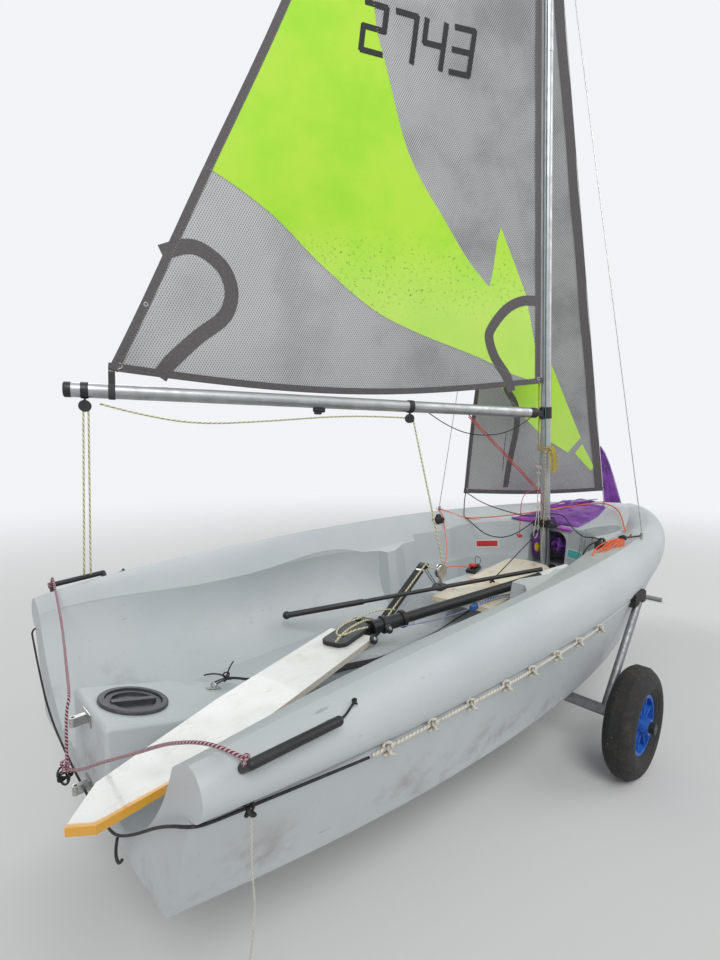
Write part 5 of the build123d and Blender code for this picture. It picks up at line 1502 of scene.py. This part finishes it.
# Yellow hank: turns round the mast at its top, and the bundle that hangs from them to starboard
hank_height = 0.955
turns_path = []
for k in range(73):
    a = 2 * pi * 3 * k / 72
    reach = 0.041 + 0.003 * sin(7 * a)
    turns_path.append(by_mast(hank_height - 0.034 * k / 72, reach * cos(a), reach * sin(a)))
fitted(tube("hank_wrap", turns_path, 0.003, 6), yellow_line)
for number in range(6):
    spread = (number - 2.5) * 0.007
    fall = 0.135 + 0.012 * sin(number * 2.1)
    start = by_mast(hank_height - 0.01, 0.020 - spread, -0.044)
    low = start + Vector((-0.006 + spread * 0.6, -0.016 - abs(spread) * 0.5, -fall))
    line(f"hank_loop_{number}", [start, start + Vector((0.003, -0.016, -0.02)),
                                 low + Vector((0.010, -0.006, 0.05)),
                                 low + Vector((0.012, -0.004, 0.012)), low,
                                 low + Vector((-0.012, 0.002, 0.014)),
                                 low + Vector((-0.010, 0.002, 0.06)),
                                 start + Vector((-0.010, 0.004, -0.03))], 0.004, yellow_line)
line("yellow_tail", [by_mast(0.93, 0.038, -0.020), by_mast(0.84, 0.044, -0.022),
                     by_mast(0.70, 0.042, -0.020), by_mast(0.57, 0.050, -0.018),
                     by_mast(0.47, 0.052, -0.014), by_mast(0.38, 0.064, -0.006),
                     by_mast(0.31, 0.058, -0.010), by_mast(0.275, 0.050, -0.014)], 0.005, flecked_line,
     far_end="object", lay="hanging")
line("mast_shock_cord", [by_mast(0.535, 0.030, -0.022), by_mast(0.45, 0.036, -0.030),
                         by_mast(0.36, 0.038, -0.030), by_mast(0.278, 0.046, -0.026)], 0.006, black_line)

# Ring eyes, black blocks and lashing at the gate, the clip on the white loop, the ball on the kicker's tail
for number, (aft, port) in enumerate(((0.040, 0.012), (0.030, -0.030))):
    ring(f"gate_eye_{number}", by_mast(0.540, aft, port),
         (mast_aft + Vector((0, port * 12, 0.25))).normalized(), 0.011, 0.0045, white_line, "boat",
         "wrap")
    moulding(f"gate_block_{number}", by_mast(0.522, aft + 0.006, port * 1.3), (0.022, 0.018, 0.028),
             black_plastic, 0.4)
ring("loop_clip", by_mast(0.496, 0.072, 0.006), Vector((0.2, 1, 0.1)).normalized(), 0.010, 0.002,
     stainless, "boat", "stainless")
for number in range(3):
    path = []
    for k in range(25):
        a = 2 * pi * k / 24
        reach = 0.046 + number * 0.005
        path.append(by_mast(0.528 - 0.011 * number, reach * cos(a), reach * 1.12 * sin(a))
                    + Vector((0, 0, 0.006 * sin(2 * a + number))))
    fitted(tube(f"gate_lashing_{number}", path, 0.003, 6), black_line)
knot("kicker_ball", kicker_tail[-1] + Vector((0, 0, -0.006)), UP, 0.026, 0.009, red_line)

# Orange hank on the starboard side deck by the shroud, its end bound black to the chainplate
HANK_AFT, HANK_FORE = at(1.800, -0.560, 0.497), at(2.060, -0.552, 0.546)
for number in range(7):
    spread = (number - 3) * 0.006
    aft_end = HANK_AFT + Vector((0.022 * (number % 3), spread * 1.6, 0.006 * (number % 2)))
    line(f"orange_hank_{number}", [HANK_FORE + Vector((0, spread * 0.3, 0.002)),
                                   HANK_FORE.lerp(aft_end, 0.35)
                                   + Vector((0, spread * 1.5, 0.004 + 0.002 * number)),
                                   HANK_FORE.lerp(aft_end, 0.75) + Vector((0, spread * 2.0, 0.003)),
                                   aft_end, aft_end + Vector((-0.006, 0.008, -0.003)),
                                   HANK_FORE.lerp(aft_end, 0.7)
                                   + Vector((0, spread * 1.2 + 0.010, 0.000)),
                                   HANK_FORE + Vector((0.004, spread * 0.3 + 0.002, 0.004))], 0.005,
         orange_line)
line("hank_lashing", [HANK_FORE + Vector((-0.02, 0.004, 0.004)), at(2.10, -0.556, 0.546),
                      at(2.15, -0.566, 0.545), at(2.190, -0.580, 0.545), at(2.205, -0.588, 0.548)], 0.008,
     black_line)
for number in range(4):
    path = []
    for k in range(17):
        a = 2 * pi * k / 16
        path.append(at(2.045 + 0.008 * number, -0.553 + 0.012 * cos(a), 0.549 + 0.010 * sin(a)))
    fitted(tube(f"hank_whipping_{number}", path, 0.003, 6), black_line)


# Small parts: plain self-adhesive labels in the bow well, a moulded oval on the foredeck, the rubber end of
# the extension's grip and the cleat under the boom.
hull_mesh = nodes["hull"].data
hull_skin = BVHTree.FromPolygons([v.co for v in hull_mesh.vertices],
                                 [tuple(p.vertices) for p in hull_mesh.polygons])
SEEN_FROM = at(-0.347, -1.367, 0.989)


def on_hull(start, ahead):
    """Where a straight look from a point meets the hull, and which way its skin faces there."""
    place, facing, _, _ = hull_skin.ray_cast(start, ahead.normalized())
    return place, facing if facing.dot(ahead) < 0 else -facing


def label(name, towards, length, height, finish, border):
    """Blank film with a border, laid on the wall that is seen behind a point."""
    middle, facing = on_hull(SEEN_FROM, towards - SEEN_FROM)
    level = UP.cross(facing).normalized()
    rise = facing.cross(level).normalized()
    columns, rows, stand_off = 16, 6, 0.06
    for layer, (margin, paint) in enumerate(((0.0, border), (0.008, finish))):
        places, flat = [], []
        for j in range(rows + 1):
            for i in range(columns + 1):
                u = (i / columns - 0.5) * (length - 2 * margin)
                v = (j / rows - 0.5) * (height - 2 * margin)
                start = middle + level * u + rise * v + facing * stand_off
                reach = (on_hull(start, -facing)[0] - start).length
                reach = min(max(reach, stand_off - 0.025), stand_off + 0.025)
                places.append(start - facing * (reach - 0.0014 - 0.0008 * layer))
                flat.append((u, v))
        film = thickened(mesh_piece(f"{name}_{layer}", places, grid_faces(rows, columns), flat), PATCH_FILM)
        fitted(film, paint)


white_film = tape_finish("label_white", colour(226, 226, 222), colour(200, 198, 192))
label("port_label", at(2.251, 0.270, 0.365), 0.150, 0.050, tape_finish("label_red", colour(196, 38, 46),
                                                                       colour(206, 92, 90)), white_film)
label("starboard_label", at(2.100, -0.324, 0.424), 0.120, 0.058,
      tape_finish("label_teal", colour(74, 186, 186), colour(130, 206, 204)), white_film)

# Oval moulded in the foredeck to starboard, with its raised rim
OVAL_X, OVAL_Y, OVAL_LONG, OVAL_WIDE = 2.49, -0.275, 0.215, 0.066


def on_deck(share, angle):
    x = OVAL_X + OVAL_LONG * share * cos(angle)
    y = OVAL_Y + OVAL_WIDE * share * sin(angle) - 0.10 * share * OVAL_LONG * cos(angle)
    return on_hull(at(x, y, 0.9), Vector((0, 0, -1)))[0]


oval_rim = tube("foredeck_oval_rim", [on_deck(1.0, 2 * pi * k / 64) + Vector((0, 0, 0.0012))
                                      for k in range(65)], 0.0028, 6)
oval_places = [on_deck(0.0, 0) + Vector((0, 0, 0.0016))]
for step in range(1, 9):
    oval_places += [on_deck(step / 8 * 0.99, 2 * pi * k / 48) + Vector((0, 0, 0.0016)) for k in range(48)]
oval_faces = [(0, 1 + k, 1 + (k + 1) % 48) for k in range(48)]
for step in range(7):
    for k in range(48):
        a, b = 1 + step * 48 + k, 1 + step * 48 + (k + 1) % 48
        oval_faces.append((a, a + 48, b + 48, b))
oval_pad = thickened(mesh_piece("foredeck_oval", oval_places, oval_faces), 0.0012)
oval_grey = moulded_finish("oval_grey", colour(150, 156, 158), 0.5)
for piece in (oval_pad, oval_rim):
    fitted(piece, oval_grey)

grip_end = ball("extension_end", at(0.862, 0.352, 0.236), (0.017, 0.017, 0.017))
fitted(grip_end, black_plastic)
moulding("boom_cleat", under_boom(1.32, 0.040), (0.056, 0.022, 0.026), black_plastic, 0.4, boom_aft,
         "boom_and_mainsail")
moulding("boom_cleat_jaw", under_boom(1.325, 0.056), (0.030, 0.028, 0.012), black_plastic, 0.4, boom_aft,
         "boom_and_mainsail")

# Eye on the spine where the toe straps end aft, with the black line that lashes them to it
anchor = at(0.364, 0.034, 0.2085)
moulding("strap_anchor_plate", anchor + Vector((0, 0, 0.001)), (0.046, 0.015, 0.003), stainless, 0.4,
         Vector((0.97, 0, -0.25)))
ring("strap_anchor", anchor + Vector((0, 0, 0.008)), Vector((0.9, 0.3, 0)).normalized(), 0.010, 0.0025,
     stainless, "boat", "stainless")
knot_place = anchor + Vector((0.056, 0.022, 0.010))
for number, shift in enumerate((-0.006, 0.008)):
    line(f"strap_lashing_{number}", [anchor + Vector((0.004, shift, 0.014)),
                                     knot_place + Vector((0, shift * 0.6, 0.002)),
                                     at(0.50, 0.030 + shift, 0.190), at(0.592, 0.020 + shift, 0.1665)],
         0.005, black_line)
knot("strap_lashing_knot", knot_place, Vector((0.9, 0.3, 0)), 0.030, 0.005, black_line)
line("strap_lashing_tail_0", [knot_place, knot_place + Vector((-0.020, 0.030, 0.014)),
                              knot_place + Vector((-0.052, 0.052, 0.004))], 0.005, black_line)
line("strap_lashing_tail_1", [knot_place, knot_place + Vector((0.022, 0.024, 0.020)),
                              knot_place + Vector((0.052, 0.050, 0.018))], 0.005, black_line)

# Ends of the stock's pins with their steel bolts, on its starboard side, and the tail of the sheet that lies
# curled over the stock
for number, place in enumerate((at(0.862, -0.168, 0.290), at(0.950, -0.158, 0.302))):
    out = Vector((0.2, -0.8, 0.45)).normalized()
    ring(f"stock_pin_end_{number}", place, out, 0.010, 0.008, black_plastic, "boat", "dark_plastic")
    ring(f"stock_bolt_{number}", place + out * 0.003, out, 0.004, 0.0055, stainless, "boat", "stainless")
line("sheet_tail_curl", [at(1.150, -0.002, 0.286), at(1.060, -0.060, 0.325), at(0.960, -0.060, 0.338),
                         at(0.880, -0.078, 0.338), at(0.815, -0.078, 0.338), at(0.750, -0.100, 0.335),
                         at(0.722, -0.132, 0.331), at(0.745, -0.148, 0.332), at(0.800, -0.142, 0.334),
                         at(0.850, -0.150, 0.332)], 0.006, flecked_line, far_end="object", lay="loose")


# Floor, backdrop, lamps and camera: a plain pale studio, seen from where the boat's starboard quarter
# is looked over, a little above the side deck.
def studio():
    floor_mesh = bpy.data.meshes.new("studio_floor")
    reach = 60
    floor_mesh.from_pydata([(-reach, -reach, 0), (reach, -reach, 0), (reach, reach, 0),
                            (-reach, reach, 0)], [], [(0, 1, 2, 3)])
    floor = bpy.data.objects.new("studio_floor", floor_mesh)
    bpy.context.scene.collection.objects.link(floor)
    finish = Finish("studio_floor", Roughness=0.9)
    finish.set("Base Color", colour(222, 222, 220))
    away = finish.node("ShaderNodeVectorMath", {"operation": "LENGTH"}, {0: finish.place()}, output="Value")
    seen_far = finish.ramp(away, 2.2, 8.5) * finish.node("ShaderNodeLightPath", output="Is Camera Ray")
    backdrop = finish.node("ShaderNodeEmission", values={"Color": (0.93, 0.95, 0.98, 1), "Strength": 0.95})
    blend = finish.node("ShaderNodeMixShader", values={0: seen_far, 2: backdrop})
    finish.tree.links.new(finish.shader.outputs[0], blend.socket.node.inputs[1])
    finish.tree.links.new(blend.socket, finish.tree.nodes["Material Output"].inputs["Surface"])
    finish.dress(floor)


studio()


def studio_light(name, place, target, size, power):
    lamp = bpy.data.lights.new(name, "AREA")
    lamp.shape = "DISK"
    lamp.size = size
    lamp.energy = power
    holder = bpy.data.objects.new(name, lamp)
    holder.location = place
    holder.rotation_euler = (Vector(target) - Vector(place)).to_track_quat("-Z", "Y").to_euler()
    bpy.context.scene.collection.objects.link(holder)


studio_light("lamp_key", (-6, -7, 9), (0, 0, 1), 6, 620)
studio_light("lamp_fill", (5, -6, 6), (0, 0, 1.5), 7, 190)
studio_light("lamp_back", (2, 8, 8), (0, 0, 1.5), 7, 300)

world = bpy.data.worlds.new("studio")
world.use_nodes = True
bpy.context.scene.world = world
sky = world.node_tree
background = sky.nodes["Background"]
light_path = sky.nodes.new("ShaderNodeLightPath")
seen = sky.nodes.new("ShaderNodeMath")
seen.operation = "MAXIMUM"
sky.links.new(light_path.outputs["Is Camera Ray"], seen.inputs[0])
sky.links.new(light_path.outputs["Is Glossy Ray"], seen.inputs[1])
strength = sky.nodes.new("ShaderNodeMapRange")
strength.inputs["To Min"].default_value = 0.42
strength.inputs["To Max"].default_value = 0.95
sky.links.new(seen.outputs[0], strength.inputs["Value"])
sky.links.new(strength.outputs[0], background.inputs["Strength"])
background.inputs["Color"].default_value = (0.93, 0.95, 0.98, 1)

PHOTO_HEIGHT = 960
FOCAL_PIXELS = 504.6
camera = bpy.data.cameras.new("photo_view")
camera.lens = FOCAL_PIXELS / PHOTO_HEIGHT * camera.sensor_width
camera.clip_start = 0.02
camera.clip_end = 200
viewer = bpy.data.objects.new("photo_view", camera)
forward = Vector((0.68524, 0.72346, -0.08398))
right = Vector((0.72657, -0.68702, 0.00992))
up = right.cross(forward)
turn = Matrix((right, up, -forward)).transposed()
viewer.matrix_world = Matrix.Translation(SEEN_FROM) @ turn.to_4x4()
bpy.context.scene.collection.objects.link(viewer)
bpy.context.scene.camera = viewer
bpy.context.scene.view_settings.view_transform = "Standard"
